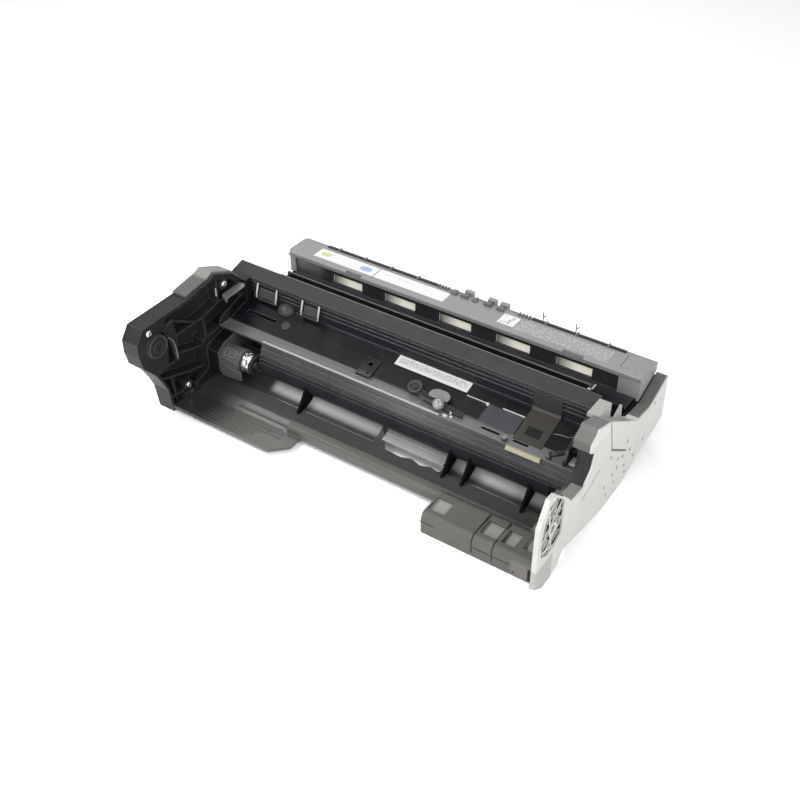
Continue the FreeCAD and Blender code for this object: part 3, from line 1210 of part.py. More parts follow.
def seal_strip():
    """Foam strip at the right end of the ledge, between two steel pins."""
    part = Moulding("seal_strip")
    top = (V.ledge_front_y, V.ledge_z)
    length = math.dist(top, (V.band_foot_y, V.band_foot_z))
    down = ((V.band_foot_y - top[0]) / length, (V.band_foot_z - top[1]) / length)
    proud = (down[1] * V.strip_thick, -down[0] * V.strip_thick)
    low = (top[0] + down[0] * V.strip_wide, top[1] + down[1] * V.strip_wide)
    part.add("X", "strip_left", "strip_right",
             [top, low, (low[0] + proud[0], low[1] + proud[1]), (top[0] + proud[0], top[1] + proud[1])])
    pins = Moulding("strip_pins")
    reach = PIN_CLEARANCE + PIN_RADIUS
    for centre_x in (V.strip_left - reach, V.strip_right + reach):
        pins.add("Z", "ledge_z", "ledge_z + 3", circle(centre_x, V.ledge_front_y + 3, PIN_RADIUS))


def build():
    toner_cradle()
    ledge_strip()
    developer_housing()
    doctor_blade()
    developer_roller()
    paddle("feed_paddle", FEED, ("feed_y", "feed_z"), "feed_gear", V.feed_teeth, FEED_PHASE, 20)
    paddle("mixing_paddle", MIXING, ("mixing_y", "mixing_z"), "mixing_gear", V.mixing_teeth, MIXING_PHASE, 70)
    image_drum()
    charge_roller()
    cleaning_blade()
    waste_side()
    rear_housing()
    window_liner()
    rear_cover()
    right_side_plate()
    right_inner_plate()
    notch_block()
    lens_block()
    right_guide_block()
    left_bracket()
    side_screws()
    left_tab()
    left_inner_plate()
    drive_cover()
    coupling_shield()
    drive_coupling()
    nose_bush()
    bracket_contact()
    lower_guide()
    front_foot()
    lever_plate()
    inlet_lever()
    floor_label()
    cover_labels()
    film_tab()
    seal_strip()


def check_and_export():
    """Stop on any failed object, then write one file for each piece."""
    DOCUMENT.recompute()
    failed = [part.Label for part in DOCUMENT.Objects if "Invalid" in part.State or "Error" in part.State]
    for part in PARTS:
        if part.Shape.isNull() or not part.Shape.isValid() or not part.Shape.Solids:
            failed.append(part.Label)
    if failed:
        raise RuntimeError("failed: " + ", ".join(sorted(set(failed))))
    os.makedirs("parts", exist_ok=True)
    for part in PARTS:
        part.Shape.exportStep(f"parts/{part.Label}.step")
        print(f"{part.Label}: {len(part.Shape.Solids)} solids, {part.Shape.Volume:.0f} mm3")


build()
check_and_export()
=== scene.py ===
import json
import math

import bmesh
import bpy
from mathutils import Matrix, Vector


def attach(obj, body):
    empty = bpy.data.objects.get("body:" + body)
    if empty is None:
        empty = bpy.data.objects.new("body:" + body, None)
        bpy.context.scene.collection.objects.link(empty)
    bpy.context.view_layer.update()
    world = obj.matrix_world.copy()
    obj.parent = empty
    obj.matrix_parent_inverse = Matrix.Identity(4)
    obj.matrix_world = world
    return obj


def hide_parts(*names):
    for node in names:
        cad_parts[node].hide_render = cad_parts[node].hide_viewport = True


MM = 0.001
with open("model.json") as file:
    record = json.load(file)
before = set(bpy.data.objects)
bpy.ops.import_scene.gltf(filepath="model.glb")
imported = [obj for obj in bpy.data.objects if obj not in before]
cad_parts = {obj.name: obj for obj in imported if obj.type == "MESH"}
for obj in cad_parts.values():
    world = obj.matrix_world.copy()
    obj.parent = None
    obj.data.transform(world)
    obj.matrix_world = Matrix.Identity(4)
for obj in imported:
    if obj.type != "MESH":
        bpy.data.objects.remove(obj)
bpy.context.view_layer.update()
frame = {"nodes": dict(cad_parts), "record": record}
NODES = frame["nodes"]

# The drawing's Y is measured from this place in the frame, in millimetres
MIDDLE_Y = 7.0


# Node trees: shader maths and mesh patterns share one way of adding nodes

class Signal:
    """One output of a node, which can be reckoned with like a number."""
    def __init__(self, maker, socket):
        self.maker = maker
        self.socket = socket

    def beside(self, output):
        """Another output of the same node."""
        return Signal(self.maker, self.socket.node.outputs[output])

    def reckon(self, operation, first, second=0.0):
        return self.maker.node("ShaderNodeMath", {"operation": operation}, {0: first, 1: second})

    def __add__(self, other):
        return self.reckon("ADD", self, other)

    __radd__ = __add__

    def __mul__(self, other):
        return self.reckon("MULTIPLY", self, other)

    __rmul__ = __mul__

    def __sub__(self, other):
        return self.reckon("SUBTRACT", self, other)

    def __rsub__(self, other):
        return self.reckon("SUBTRACT", other, self)

    def __truediv__(self, other):
        return self.reckon("DIVIDE", self, other)

    def __lt__(self, other):
        return self.reckon("LESS_THAN", self, other)

    def __mod__(self, other):
        return self.reckon("FLOORED_MODULO", self, other)


class NodeMaker:
    """Adds nodes to one tree."""
    def node(self, kind, settings=None, inputs=None, output=0):
        """Adds a node: its settings first, then the values or links of its sockets."""
        made = self.tree.nodes.new(kind)
        for word, value in (settings or {}).items():
            if word == "stops":
                self.set_stops(made.color_ramp, value)
            else:
                setattr(made, word, value)
        for word, value in (inputs or {}).items():
            self.feed(made.inputs[word], value)
        return Signal(self, made.outputs[output]) if made.outputs else None

    def set_stops(self, ramp, stops):
        """The two ends of a ramp, as places and greys."""
        for element, (place, shade) in zip(ramp.elements, stops):
            element.position = place
            element.color = (shade, shade, shade, 1.0)

    def feed(self, socket, value):
        """Links a signal or a list of them to the socket, or sets its value."""
        if isinstance(value, Signal):
            self.tree.links.new(value.socket, socket)
        elif isinstance(value, list):
            for one in value:
                self.tree.links.new(one.socket, socket)
        elif socket.type == "RGBA":
            socket.default_value = (*value, 1.0)
        else:
            socket.default_value = value


class Finish(NodeMaker):
    """A material in the making."""
    def __init__(self, name):
        self.material = bpy.data.materials.new(name)
        self.material.use_nodes = True
        self.tree = self.material.node_tree
        self.shader = self.tree.nodes["Principled BSDF"]

    def surface(self, **sockets):
        """Sets the shader's own sockets; a word's underscores stand for spaces."""
        for word, value in sockets.items():
            self.feed(self.shader.inputs[word.replace("_", " ")], value)
        return self.material

    def place(self, stretch=(1.0, 1.0, 1.0)):
        """Object coordinates, stretched."""
        coordinates = self.node("ShaderNodeTexCoord", output="Object")
        return self.node("ShaderNodeMapping", None, {"Vector": coordinates, "Scale": stretch})

    def drawing(self):
        """Object coordinates as the drawing's X, Y and Z in millimetres."""
        coordinates = self.node("ShaderNodeTexCoord", output="Object")
        split = self.node("ShaderNodeSeparateXYZ", None, {0: coordinates})
        x, y, z = [split.beside(axis) * (1.0 / MM) for axis in range(3)]
        return {"X": x, "Y": y + MIDDLE_Y, "Z": z}

    def noise(self, place, scale, detail=3.0, roughness=0.5):
        return self.node("ShaderNodeTexNoise", None,
                         {"Vector": place, "Scale": scale, "Detail": detail, "Roughness": roughness}, "Fac")

    def ramp(self, signal, start, end):
        """A ramp from black at the start to white at the end."""
        return self.node("ShaderNodeValToRGB", {"stops": [(start, 0.0), (end, 1.0)]}, {"Fac": signal})

    def mix(self, share, first, second):
        return self.node("ShaderNodeMix", {"data_type": "RGBA"}, {"Factor": share, 6: first, 7: second}, 2)

    def rise(self, signal, start, end):
        """0 before the start, 1 after the end, even between them."""
        return self.node("ShaderNodeMapRange", None,
                         {"Value": signal, "From Min": start, "From Max": end, "To Min": 0.0, "To Max": 1.0})

    def within(self, axes, spans, soft):
        """A mask that is 1 inside spans of the drawing's axes, with soft ends."""
        mask = 1.0
        for axis, (low, high) in spans.items():
            if low is not None:
                mask = self.rise(axes[axis], low - soft, low + soft) * mask
            if high is not None:
                mask = (1.0 - self.rise(axes[axis], high - soft, high + soft)) * mask
        return mask

    def spot(self, axes, centre, reach):
        """A mask that is 1 inside an ellipse of the drawing's X and Y."""
        across = (axes["X"] - centre[0]) / reach[0]
        along = (axes["Y"] - centre[1]) / reach[1]
        return (across * across + along * along) < 1.0

    def plain_normal(self):
        return self.node("ShaderNodeNewGeometry", output="Normal")

    def soft_edge(self, radius):
        """The normal with small rounded edges, and a mask that is 1 on those edges."""
        rounded = self.node("ShaderNodeBevel", {"samples": 4}, {"Radius": radius}, "Normal")
        agree = self.node("ShaderNodeVectorMath", {"operation": "DOT_PRODUCT"},
                          {0: rounded, 1: self.plain_normal()}, "Value")
        return rounded, self.ramp(1.0 - agree, 0.01, 0.16)

    def bump(self, height, normal, depth, strength):
        return self.node("ShaderNodeBump", None,
                         {"Height": height, "Distance": depth, "Strength": strength, "Normal": normal})


class Pattern(NodeMaker):
    """A Geometry Nodes tree in the making, drawn in the drawing's millimetres."""
    def __init__(self, name):
        self.name = name
        self.tree = bpy.data.node_groups.new(name, "GeometryNodeTree")
        self.words = {}
        for way in ("INPUT", "OUTPUT"):
            self.tree.interface.new_socket("Geometry", in_out=way, socket_type="NodeSocketGeometry")
        self.given = self.node("NodeGroupInput")

    def size(self, word, kind="Float"):
        """A named input of the tree."""
        item = self.tree.interface.new_socket(word, in_out="INPUT", socket_type="NodeSocket" + kind)
        self.words[word] = item.identifier
        return self.given.beside(word)

    def block(self):
        """A block of the size that the input Block gives."""
        return self.node("GeometryNodeMeshCube", None, {"Size": self.size("Block", "Vector")})

    def line(self, count, pitch, start=(0.0, 0.0, 0.0)):
        """Points at an even pitch."""
        return self.node("GeometryNodeMeshLine", {"mode": "OFFSET"},
                         {"Count": count, "Offset": pitch, "Start Location": start})

    def spread(self, points, thing, **more):
        """The same thing at each point."""
        return self.node("GeometryNodeInstanceOnPoints", None, {"Points": points, "Instance": thing, **more})

    def moved(self, geometry, **how):
        return self.node("GeometryNodeTransform", None, {"Geometry": geometry, **how})

    def wire(self, curve, radius, sides):
        """A round wire along a curve, with closed ends."""
        section = self.node("GeometryNodeCurvePrimitiveCircle", None, {"Resolution": sides, "Radius": radius})
        return self.node("GeometryNodeCurveToMesh", None,
                         {"Curve": curve, "Profile Curve": section, "Fill Caps": True})

    def real(self, geometry):
        return self.node("GeometryNodeRealizeInstances", None, {0: geometry})

    def close(self, geometry, material):
        """Ends the tree with Realize Instances and Set Material."""
        dressed = self.node("GeometryNodeSetMaterial", None,
                            {"Geometry": self.real(geometry), "Material": material})
        self.node("NodeGroupOutput", None, {0: dressed})
        return self

    def mesh(self, values, points=(), edges=()):
        """The pattern as a plain mesh, for these sizes and on these points."""
        seed = bpy.data.meshes.new(self.name)
        seed.from_pydata(points, edges, [])
        carrier = bpy.data.objects.new(self.name, seed)
        bpy.context.scene.collection.objects.link(carrier)
        modifier = carrier.modifiers.new(self.name, "NODES")
        modifier.node_group = self.tree
        for word, value in values.items():
            modifier[self.words[word]] = value
        view = bpy.context.evaluated_depsgraph_get()
        made = bpy.data.meshes.new_from_object(carrier.evaluated_get(view))
        carrier.modifiers.clear()
        bpy.data.objects.remove(carrier)
        return made


def lighter(colour, share):
    """The colour moved towards white by a share."""
    return tuple(part + (1.0 - part) * share for part in colour)


def darker(colour, share):
    """The colour moved towards black by a share."""
    return tuple(part * (1.0 - share) for part in colour)


# Finishes. A region is a colour, the spans of the drawing that it fills, and how soft its ends are.
# The waves of a noise pattern are counted along one metre.

CLOUD_WAVES = 14.0
FLOW_WAVES = 45.0
FILM_WAVES = 60.0
SPECK_WAVES = 420.0
GRAIN_WAVES = 1.0 / 0.0006
BLACK = (0.0, 0.0, 0.0)


def region_colour(finish, colour, regions):
    """The colour of the moulding with the regions laid over it, one after another."""
    axes = finish.drawing() if regions else None
    for shade, spans, soft in regions:
        colour = finish.mix(finish.within(axes, spans, soft), colour, shade)
    return colour


def moulded_plastic(name, colour, roughness, edge_wear_and_highlight=0.3, dust=0.1, grain_depth=0.00003, edge=0.0005, regions=(),
                    dust_colour=(0.5, 0.49, 0.47), shine=0.22):
    """Moulded plastic with a fine eroded grain, uneven sheen, edges lightened as worn plastic and as a
    painted edge highlight, and a little dust.
    """
    finish = Finish(name)
    place = finish.place()
    rounded, on_edge = finish.soft_edge(edge)
    clouds = finish.noise(place, CLOUD_WAVES, detail=4.0, roughness=0.55)
    flow = finish.noise(finish.place(stretch=(0.25, 1.0, 1.0)), FLOW_WAVES, roughness=0.6)
    grain = finish.noise(place, GRAIN_WAVES, detail=2.0, roughness=0.6)
    specks = finish.ramp(finish.noise(place, SPECK_WAVES, detail=4.0, roughness=0.7), 0.66, 0.8)
    film = finish.ramp(finish.noise(place, FILM_WAVES, detail=5.0, roughness=0.6), 0.45, 0.75)
    base = region_colour(finish, colour, regions)
    body = finish.mix(clouds * 0.16, base, BLACK)
    # Edges lightened by the bevel mask: partly worn plastic, partly a painted edge highlight.
    worn_and_highlit = finish.mix(on_edge * edge_wear_and_highlight, body, lighter(colour, 0.35))
    dusty = finish.mix((specks * 0.5 + film * 0.18) * dust, worn_and_highlit, dust_colour)
    sheen = roughness + 0.14 * (flow - 0.5) + 0.1 * film * dust - 0.06 * on_edge
    normal = finish.bump(grain, rounded, depth=grain_depth, strength=0.5)
    return finish.surface(Base_Color=dusty, Roughness=sheen, Normal=normal, Specular_IOR_Level=shine)


def turned_metal(name, colour, roughness, brush_along=(1.0, 1.0, 1.0), streaks=0.15):
    """Steel with fine drawn lines and slight stains."""
    finish = Finish(name)
    rounded, on_edge = finish.soft_edge(0.0003)
    lines = finish.noise(finish.place(stretch=brush_along), 900.0, roughness=0.6)
    stains = finish.noise(finish.place(), 70.0, detail=4.0, roughness=0.6)
    shade = finish.mix(stains * 0.5 + on_edge * 0.2, darker(colour, 0.25), lighter(colour, 0.1))
    normal = finish.bump(lines, rounded, depth=0.00002, strength=0.35)
    return finish.surface(Base_Color=shade, Metallic=1.0, Roughness=roughness + streaks * (lines - 0.4),
                          Normal=normal)


def coated_drum(name):
    """Smooth photoconductive coat, with faint rings round the drum."""
    finish = Finish(name)
    rings = finish.noise(finish.place(stretch=(1.0, 0.02, 0.02)), 260.0)
    shade = finish.mix(rings, (0.015, 0.09, 0.11), (0.02, 0.13, 0.15))
    return finish.surface(Base_Color=shade, Roughness=0.14 + 0.06 * rings, Coat_Weight=0.6)


def rubber(name):
    """Soft black rubber with a dull, slightly dusty surface."""
    finish = Finish(name)
    place = finish.place()
    powder = finish.noise(place, 350.0, detail=4.0, roughness=0.7)
    shade = finish.mix(powder, (0.012, 0.012, 0.012), (0.035, 0.035, 0.035))
    grain = finish.noise(place, 2400.0, detail=2.0, roughness=0.6)
    rounded, on_edge = finish.soft_edge(0.0004)
    normal = finish.bump(grain, rounded, depth=0.00004, strength=0.4)
    return finish.surface(Base_Color=shade, Roughness=0.7 + 0.2 * powder - 0.05 * on_edge, Normal=normal)


def felt(name, colour, fibre_size, painted_glow, stains):
    """Short matted fibres, darkened by a painted shadow over the first part of each window's span, and with a
    painted glow, as emission, over the rest.
    """
    finish = Finish(name)
    place = finish.place(stretch=(0.4, 1.0, 1.0))
    fibres = finish.noise(place, 1.0 / fibre_size, detail=5.0, roughness=0.75)
    tufts = finish.noise(finish.place(), 120.0, detail=4.0, roughness=0.6)
    # The stains argument places the painted shadows: where the first starts, their pitch and how far each
    # fades.
    first, pitch, fade = stains
    unshadowed = finish.rise((finish.drawing()["X"] - first) % pitch, 0.0, fade)
    fresh = finish.mix(fibres * 0.6 + tufts * 0.4, darker(colour, 0.2), lighter(colour, 0.15))
    shade = finish.mix(unshadowed, darker(colour, 0.75), fresh)
    # Painted glow: emission where the felt is out of the painted shadow.
    glow = finish.mix(unshadowed, BLACK, painted_glow)
    rounded, on_edge = finish.soft_edge(0.0006)
    normal = finish.bump(fibres, rounded, depth=0.0003, strength=0.6)
    return finish.surface(Base_Color=shade, Roughness=0.95 - 0.05 * on_edge, Normal=normal,
                          Emission_Color=glow, Emission_Strength=1.0)


def foam(name, colour):
    """Open-cell foam: small dark pores in a pale skin."""
    finish = Finish(name)
    place = finish.place()
    pores = finish.node("ShaderNodeTexVoronoi", None, {"Vector": place, "Scale": 1400.0}, "Distance")
    hollow = finish.ramp(pores, 0.1, 0.45)
    shade = finish.mix(hollow, darker(colour, 0.45), colour)
    rounded, on_edge = finish.soft_edge(0.0006)
    normal = finish.bump(hollow, rounded, depth=0.0002, strength=0.6)
    return finish.surface(Base_Color=shade, Roughness=0.9 - 0.05 * on_edge, Normal=normal)


def tinted_film(name, wall_shade, floor_shade):
    """Smoky plastic film, one tone where it hangs on the wall and another where it lies."""
    finish = Finish(name)
    creases = finish.noise(finish.place(stretch=(1.0, 0.3, 1.0)), 55.0, detail=4.0)
    smoke = finish.noise(finish.place(), 25.0, detail=2.0)
    hanging = finish.rise(finish.drawing()["Z"], 56.0, 58.0)
    tone = finish.mix(hanging, floor_shade, wall_shade)
    shade = finish.mix(smoke * 0.25, tone, darker(floor_shade, 0.6))
    normal = finish.bump(creases, finish.plain_normal(), depth=0.0008, strength=0.25)
    return finish.surface(Base_Color=shade, Roughness=0.34 + 0.12 * smoke, Normal=normal,
                          Specular_IOR_Level=0.3)


def blank_paper(name, colour=(0.78, 0.78, 0.77), fields=(), marks=None):
    """Plain paper label: coloured fields with a centre and reach each, and one band of mere specks."""
    finish = Finish(name)
    place = finish.place()
    fibres = finish.noise(place, 900.0, detail=4.0, roughness=0.7)
    clouds = finish.noise(place, 30.0, detail=2.0)
    shade = finish.mix(fibres * 0.4 + clouds * 0.6, darker(colour, 0.06), lighter(colour, 0.2))
    axes = finish.drawing()
    for tint, centre, reach in fields:
        shade = finish.mix(finish.spot(axes, centre, reach) * 0.8, shade, tint)
    if marks:
        spans, size, strength = marks
        ticks = finish.noise(finish.place(stretch=(1.0, 0.12, 1.0)), size, detail=1.0)
        dark = finish.ramp(ticks, 0.5, 0.56)
        shade = finish.mix(finish.within(axes, spans, 0.15) * dark * strength, shade, (0.1, 0.1, 0.1))
    normal = finish.bump(fibres, finish.plain_normal(), depth=0.00002, strength=0.4)
    return finish.surface(Base_Color=shade, Roughness=0.45 + 0.1 * fibres, Normal=normal)


def textured_cover(name, colour, panel, panel_shade):
    """Cover moulding with a spark-eroded skin and a panel of fine mottled relief."""
    finish = Finish(name)
    place = finish.place()
    rounded, on_edge = finish.soft_edge(0.0006)
    axes = finish.drawing()
    mottle = finish.noise(finish.place(stretch=(1.0, 1.6, 1.0)), 620.0, roughness=0.7)
    relief = finish.ramp(mottle, 0.46, 0.6)
    inside = finish.within(axes, panel, 0.8)
    clouds = finish.noise(place, 18.0, detail=4.0, roughness=0.6)
    specks = finish.noise(place, 900.0, roughness=0.7)
    body = finish.mix(clouds * 0.3 + specks * 0.7, darker(colour, 0.4), lighter(colour, 0.14))
    marked = finish.mix(inside * relief * 0.85, body, panel_shade)
    # Edges lightened by the bevel mask: partly worn plastic, partly a painted edge highlight.
    worn_and_highlit = finish.mix(on_edge * 0.3, marked, lighter(colour, 0.3))
    grain = finish.noise(place, 1500.0, detail=2.0, roughness=0.6)
    height = grain * 0.3 + inside * relief
    normal = finish.bump(height, rounded, depth=0.0001, strength=0.5)
    return finish.surface(Base_Color=worn_and_highlit, Roughness=0.55 + 0.08 * (clouds - 0.5), Normal=normal,
                          Specular_IOR_Level=0.4)


# Tones of this unit's mouldings, as linear greys

DEEP_BLACK = (0.004, 0.004, 0.006)
WALL_BLACK = (0.014, 0.014, 0.018)
RIM_BLACK = (0.04, 0.04, 0.043)
LEDGE_GREY = (0.12, 0.119, 0.12)
BAND_GREY = (0.045, 0.045, 0.047)
GUIDE_GREY = (0.062, 0.059, 0.055)
WING_GREY = (0.09, 0.086, 0.079)
FOOT_GREY = (0.108, 0.103, 0.092)
CELL_GREY = (0.30, 0.29, 0.27)
COVER_GREY = (0.24, 0.24, 0.233)
PLATE_WHITE = (0.57, 0.565, 0.54)
PLATE_SHADE = (0.2, 0.195, 0.185)
TAB_GREY = (0.22, 0.21, 0.2)
POCKET_BLACK = (0.012, 0.012, 0.012)
SHIELD_GREY = (0.07, 0.07, 0.066)
PAPER_GREY = (0.68, 0.68, 0.67)

CRADLE_REGIONS = (
    (DEEP_BLACK, {"Y": (-3.0, 22.0), "Z": (None, 60.0)}, 1.5),
    ((0.012, 0.012, 0.016), {"X": (None, 30.0), "Y": (-3.0, 22.0), "Z": (None, 60.0)}, 60.0),
    (LEDGE_GREY, {"Y": (None, -2.2), "Z": (47.4, 48.6)}, 0.4),
    (BAND_GREY, {"Y": (None, -13.2), "Z": (None, 47.6)}, 0.4),
    # Painted light: a broad paler patch on the upper band, fading out over 28 mm.
    ((0.3, 0.297, 0.29), {"X": (-5.0, 62.0), "Y": (None, -13.2), "Z": (39.0, 47.6)}, 28.0),
    # Painted shade: the wall under the band, darkened.
    ((0.006, 0.006, 0.008), {"Y": (None, -13.2), "Z": (None, 37.5)}, 2.4),
    (RIM_BLACK, {"Y": (22.8, None), "Z": (71.6, None)}, 0.3),
)
GUIDE_REGIONS = (
    (WING_GREY, {"Y": (None, -41.0)}, 3.0),
    ((0.03, 0.03, 0.031), {"X": (None, -118.0), "Y": (None, -30.0)}, 12.0),
)
HOUSING_REGIONS = (
    ((0.2, 0.195, 0.18), {"X": (None, -121.0), "Y": (76.0, None), "Z": (54.0, None)}, 7.0),
    ((0.035, 0.035, 0.04), {"X": (-121.0, None), "Y": (76.0, None)}, 7.0),
)
FOOT_REGIONS = (
    ((0.16, 0.152, 0.14), {"X": (147.0, None), "Z": (None, 14.0)}, 1.0),
    (CELL_GREY, {"Y": (-71.5, -54.0), "Z": (13.6, 15.5)}, 0.3),
    ((0.1, 0.096, 0.088), {"Z": (17.5, None)}, 0.2),
)
SIDE_PLATE_REGIONS = (
    (POCKET_BLACK, {"X": (None, 168.7), "Y": (-82.0, -53.6), "Z": (26.5, 64.0)}, 0.15),
    (POCKET_BLACK, {"X": (None, 168.7), "Y": (-76.6, -53.6), "Z": (63.6, 74.6)}, 0.15),
    # Painted shade: two regions of faces set back from the plate's outer face, darkened.
    (PLATE_SHADE, {"X": (None, 169.2), "Y": (-50.4, -24.0), "Z": (46.0, 64.0)}, 0.4),
    (PLATE_SHADE, {"X": (None, 167.5), "Y": (-54.0, -44.0), "Z": (10.0, 66.0)}, 1.5),
    ((0.4, 0.39, 0.37), {"Y": (None, -64.0), "Z": (None, 23.0)}, 1.2),
    ((0.36, 0.355, 0.34), {"X": (None, 169.0), "Y": (6.0, 48.0), "Z": (50.0, None)}, 0.5),
    ((0.12, 0.12, 0.115), {"X": (None, 169.3), "Y": (62.0, None), "Z": (44.0, None)}, 0.5),
)
# Painted shade: the guide block's top and front are darker than its outer face, which is as pale as the side
# plate.
GUIDE_BLOCK_REGIONS = (
    ((0.12, 0.116, 0.11), {"Y": (None, -21.0)}, 0.5),
    ((0.62, 0.615, 0.6), {"X": (169.2, None)}, 0.3),
)
DRIVE_COVER_REGIONS = (
    (DEEP_BLACK, {"X": (None, -140.4)}, 0.4),
)
LENS_REGIONS = (
    ((0.45, 0.445, 0.43), {"Y": (None, -84.3)}, 0.2),
)
INNER_PLATE_REGIONS = (
    ((0.13, 0.125, 0.115), {"Y": (None, -30.0), "Z": (38.0, 57.0)}, 4.0),
)
BRACKET_REGIONS = (
    ((0.008, 0.008, 0.009), {"X": (None, -169.0)}, 0.5),
    ((0.02, 0.02, 0.021), {"X": (-167.0, None)}, 0.6),
)

# Painted shadows on the felt behind the windows: where the first one starts, the windows' pitch and how far
# each shadow fades
WINDOW_PAINTED_SHADOWS = (92.4, 51.6, 16.5)

SLOT_FINISHES = {
    "black_plastic": moulded_plastic("black moulding", WALL_BLACK, 0.4, dust=0.08),
    "dark_plastic": moulded_plastic("bracket moulding", (0.013, 0.013, 0.014), 0.44, edge_wear_and_highlight=0.4, dust=0.08,
                                    regions=BRACKET_REGIONS),
    "guide_plastic": moulded_plastic("guide moulding", GUIDE_GREY, 0.3, regions=GUIDE_REGIONS, shine=0.4),
    "foot_plastic": moulded_plastic("foot moulding", FOOT_GREY, 0.5, dust=0.2, regions=FOOT_REGIONS),
    "cover_plastic": textured_cover("cover moulding", COVER_GREY,
                                    {"X": (54.0, 131.0), "Y": (84.5, 99.5), "Z": (67.0, None)},
                                    (0.5, 0.5, 0.49)),
    "light_plastic": moulded_plastic("side plate moulding", PLATE_WHITE, 0.45, edge_wear_and_highlight=0.15, dust=0.7,
                                     regions=SIDE_PLATE_REGIONS, dust_colour=(0.3, 0.29, 0.27), shine=0.4),
    "pale_plastic": moulded_plastic("grey moulding", TAB_GREY, 0.4, dust=0.2, regions=GUIDE_BLOCK_REGIONS),
    "gear_plastic": moulded_plastic("gear moulding", (0.4, 0.4, 0.38), 0.4, edge_wear_and_highlight=0.2),
    "steel": turned_metal("plain steel", (0.5, 0.5, 0.49), 0.32, (0.05, 1.0, 1.0)),
    "bright_metal": turned_metal("bright plated steel", (0.85, 0.85, 0.83), 0.22, (0.05, 1.0, 1.0), 0.08),
    "roller_rubber": rubber("roller rubber"),
    "sleeve_metal": turned_metal("blasted sleeve", (0.2, 0.2, 0.2), 0.45),
    "drum_coating": coated_drum("drum coating"),
    "felt": felt("cream felt", (0.86, 0.84, 0.72), 0.0005, (0.36, 0.35, 0.3), WINDOW_PAINTED_SHADOWS),
    "foam": foam("beige foam", (0.38, 0.335, 0.245)),
    "film": tinted_film("smoky film", (0.03, 0.031, 0.034), (0.04, 0.036, 0.03)),
    "label_paper": blank_paper("label paper"),
}

NODE_FINISHES = {
    "rear_housing": moulded_plastic("waste housing moulding", WALL_BLACK, 0.4, edge_wear_and_highlight=0.4,
                                    regions=HOUSING_REGIONS),
    "ledge_strip": moulded_plastic("ledge strip", (0.42, 0.42, 0.41), 0.3, edge_wear_and_highlight=0.1),
    "cover_label_small": blank_paper("small cover label paper", (0.7, 0.7, 0.69),
                                     marks=({"X": (40.0, 52.0), "Y": (87.0, 98.0)}, 900.0, 0.5)),
    "toner_cradle": moulded_plastic("cradle moulding", WALL_BLACK, 0.3, edge_wear_and_highlight=0.45, regions=CRADLE_REGIONS),
    "drive_cover": moulded_plastic("drive cover moulding", SHIELD_GREY, 0.4, edge_wear_and_highlight=0.4, dust=0.12,
                                   regions=DRIVE_COVER_REGIONS),
    "coupling_shield": moulded_plastic("shield moulding", SHIELD_GREY, 0.35),
    "lens_block": moulded_plastic("lens backing", DEEP_BLACK, 0.5, edge_wear_and_highlight=0.1, dust=0.05, regions=LENS_REGIONS),
    "notch_block": moulded_plastic("notch block moulding", (0.02, 0.02, 0.021), 0.3, edge_wear_and_highlight=0.2),
    "lever_plate": moulded_plastic("lever plate moulding", (0.007, 0.007, 0.009), 0.35, edge_wear_and_highlight=0.35),
    "inlet_lever": moulded_plastic("lever moulding", (0.02, 0.02, 0.023), 0.34, edge_wear_and_highlight=0.5),
    "lever_knob": moulded_plastic("knob moulding", (0.25, 0.25, 0.25), 0.16, edge_wear_and_highlight=0.4, shine=0.95),
    "right_inner_plate": moulded_plastic("inner plate moulding", WALL_BLACK, 0.4, dust=0.3,
                                         regions=INNER_PLATE_REGIONS),
    # The guide block's darker grey is painted shade on the same pale plastic as its outer face.
    "right_guide_block": moulded_plastic("guide block moulding", (0.16, 0.155, 0.147), 0.4, dust=0.2,
                                         regions=GUIDE_BLOCK_REGIONS),
    "bracket_contact": moulded_plastic("contact leaf", (0.17, 0.17, 0.165), 0.3, edge_wear_and_highlight=0.4),
    "cradle_label": blank_paper("cradle label paper", (0.55, 0.55, 0.53),
                                marks=({"X": (-4.5, 54.5), "Y": (16.6, 21.6)}, 3400.0, 0.7)),
    "cover_label_left": blank_paper("cover label paper", PAPER_GREY,
                                    fields=(((0.5, 0.52, 0.16), (-127.5, 92.8), (5.2, 3.0)),
                                            ((0.2, 0.32, 0.5), (-87.0, 92.2), (5.8, 3.4)))),
    "cover_label_right": blank_paper("second cover label paper", PAPER_GREY,
                                     marks=({"X": (-71.0, -42.0), "Y": (93.5, 95.5)}, 900.0, 0.3)),
}


def dress_frame():
    """Gives every carried-over node the finish of its slot, or its own."""
    slot_of = {entry["node"]: entry["material_slot"] for entry in frame["record"]["subparts"]}
    for name, node in NODES.items():
        node.data.materials.clear()
        node.data.materials.append(NODE_FINISHES.get(name, SLOT_FINISHES[slot_of[name]]))


# Forms: meshes drawn in the drawing's millimetres

LEDGE_TOP = 48.0
FLOOR_START_Y = -3.0
FLOOR_SLOPE = 8.3 / 27.0
COVER_TOP = 68.0
FLAT = Matrix.Identity(4)
CRADLE_FLOOR = (Matrix.Translation((0.0, FLOOR_START_Y, LEDGE_TOP))
                @ Matrix.Rotation(math.atan(FLOOR_SLOPE), 4, "X"))
INTO_FRAME = Matrix.Scale(MM, 4) @ Matrix.Translation((0.0, -MIDDLE_Y, 0.0))
SAME_PLACE = 0.001
BEVEL_SHAPE = 0.6
# The share of a side that the rounding of one of its corners may take
LONGEST_ROUND = 0.45


def floor_height(y):
    """Height of the cradle's floor at a depth of the drawing."""
    return LEDGE_TOP + FLOOR_SLOPE * max(0.0, y - FLOOR_START_Y)


def on_axis(axis, along, across, up):
    """A point, from its distance along an axis and its two other measures."""
    return {"X": (along, across, up), "Y": (across, along, up), "Z": (across, up, along)}[axis]


def circle(radius, steps):
    turns = [2 * math.pi * step / steps for step in range(steps)]
    return [(radius * math.cos(turn), radius * math.sin(turn)) for turn in turns]


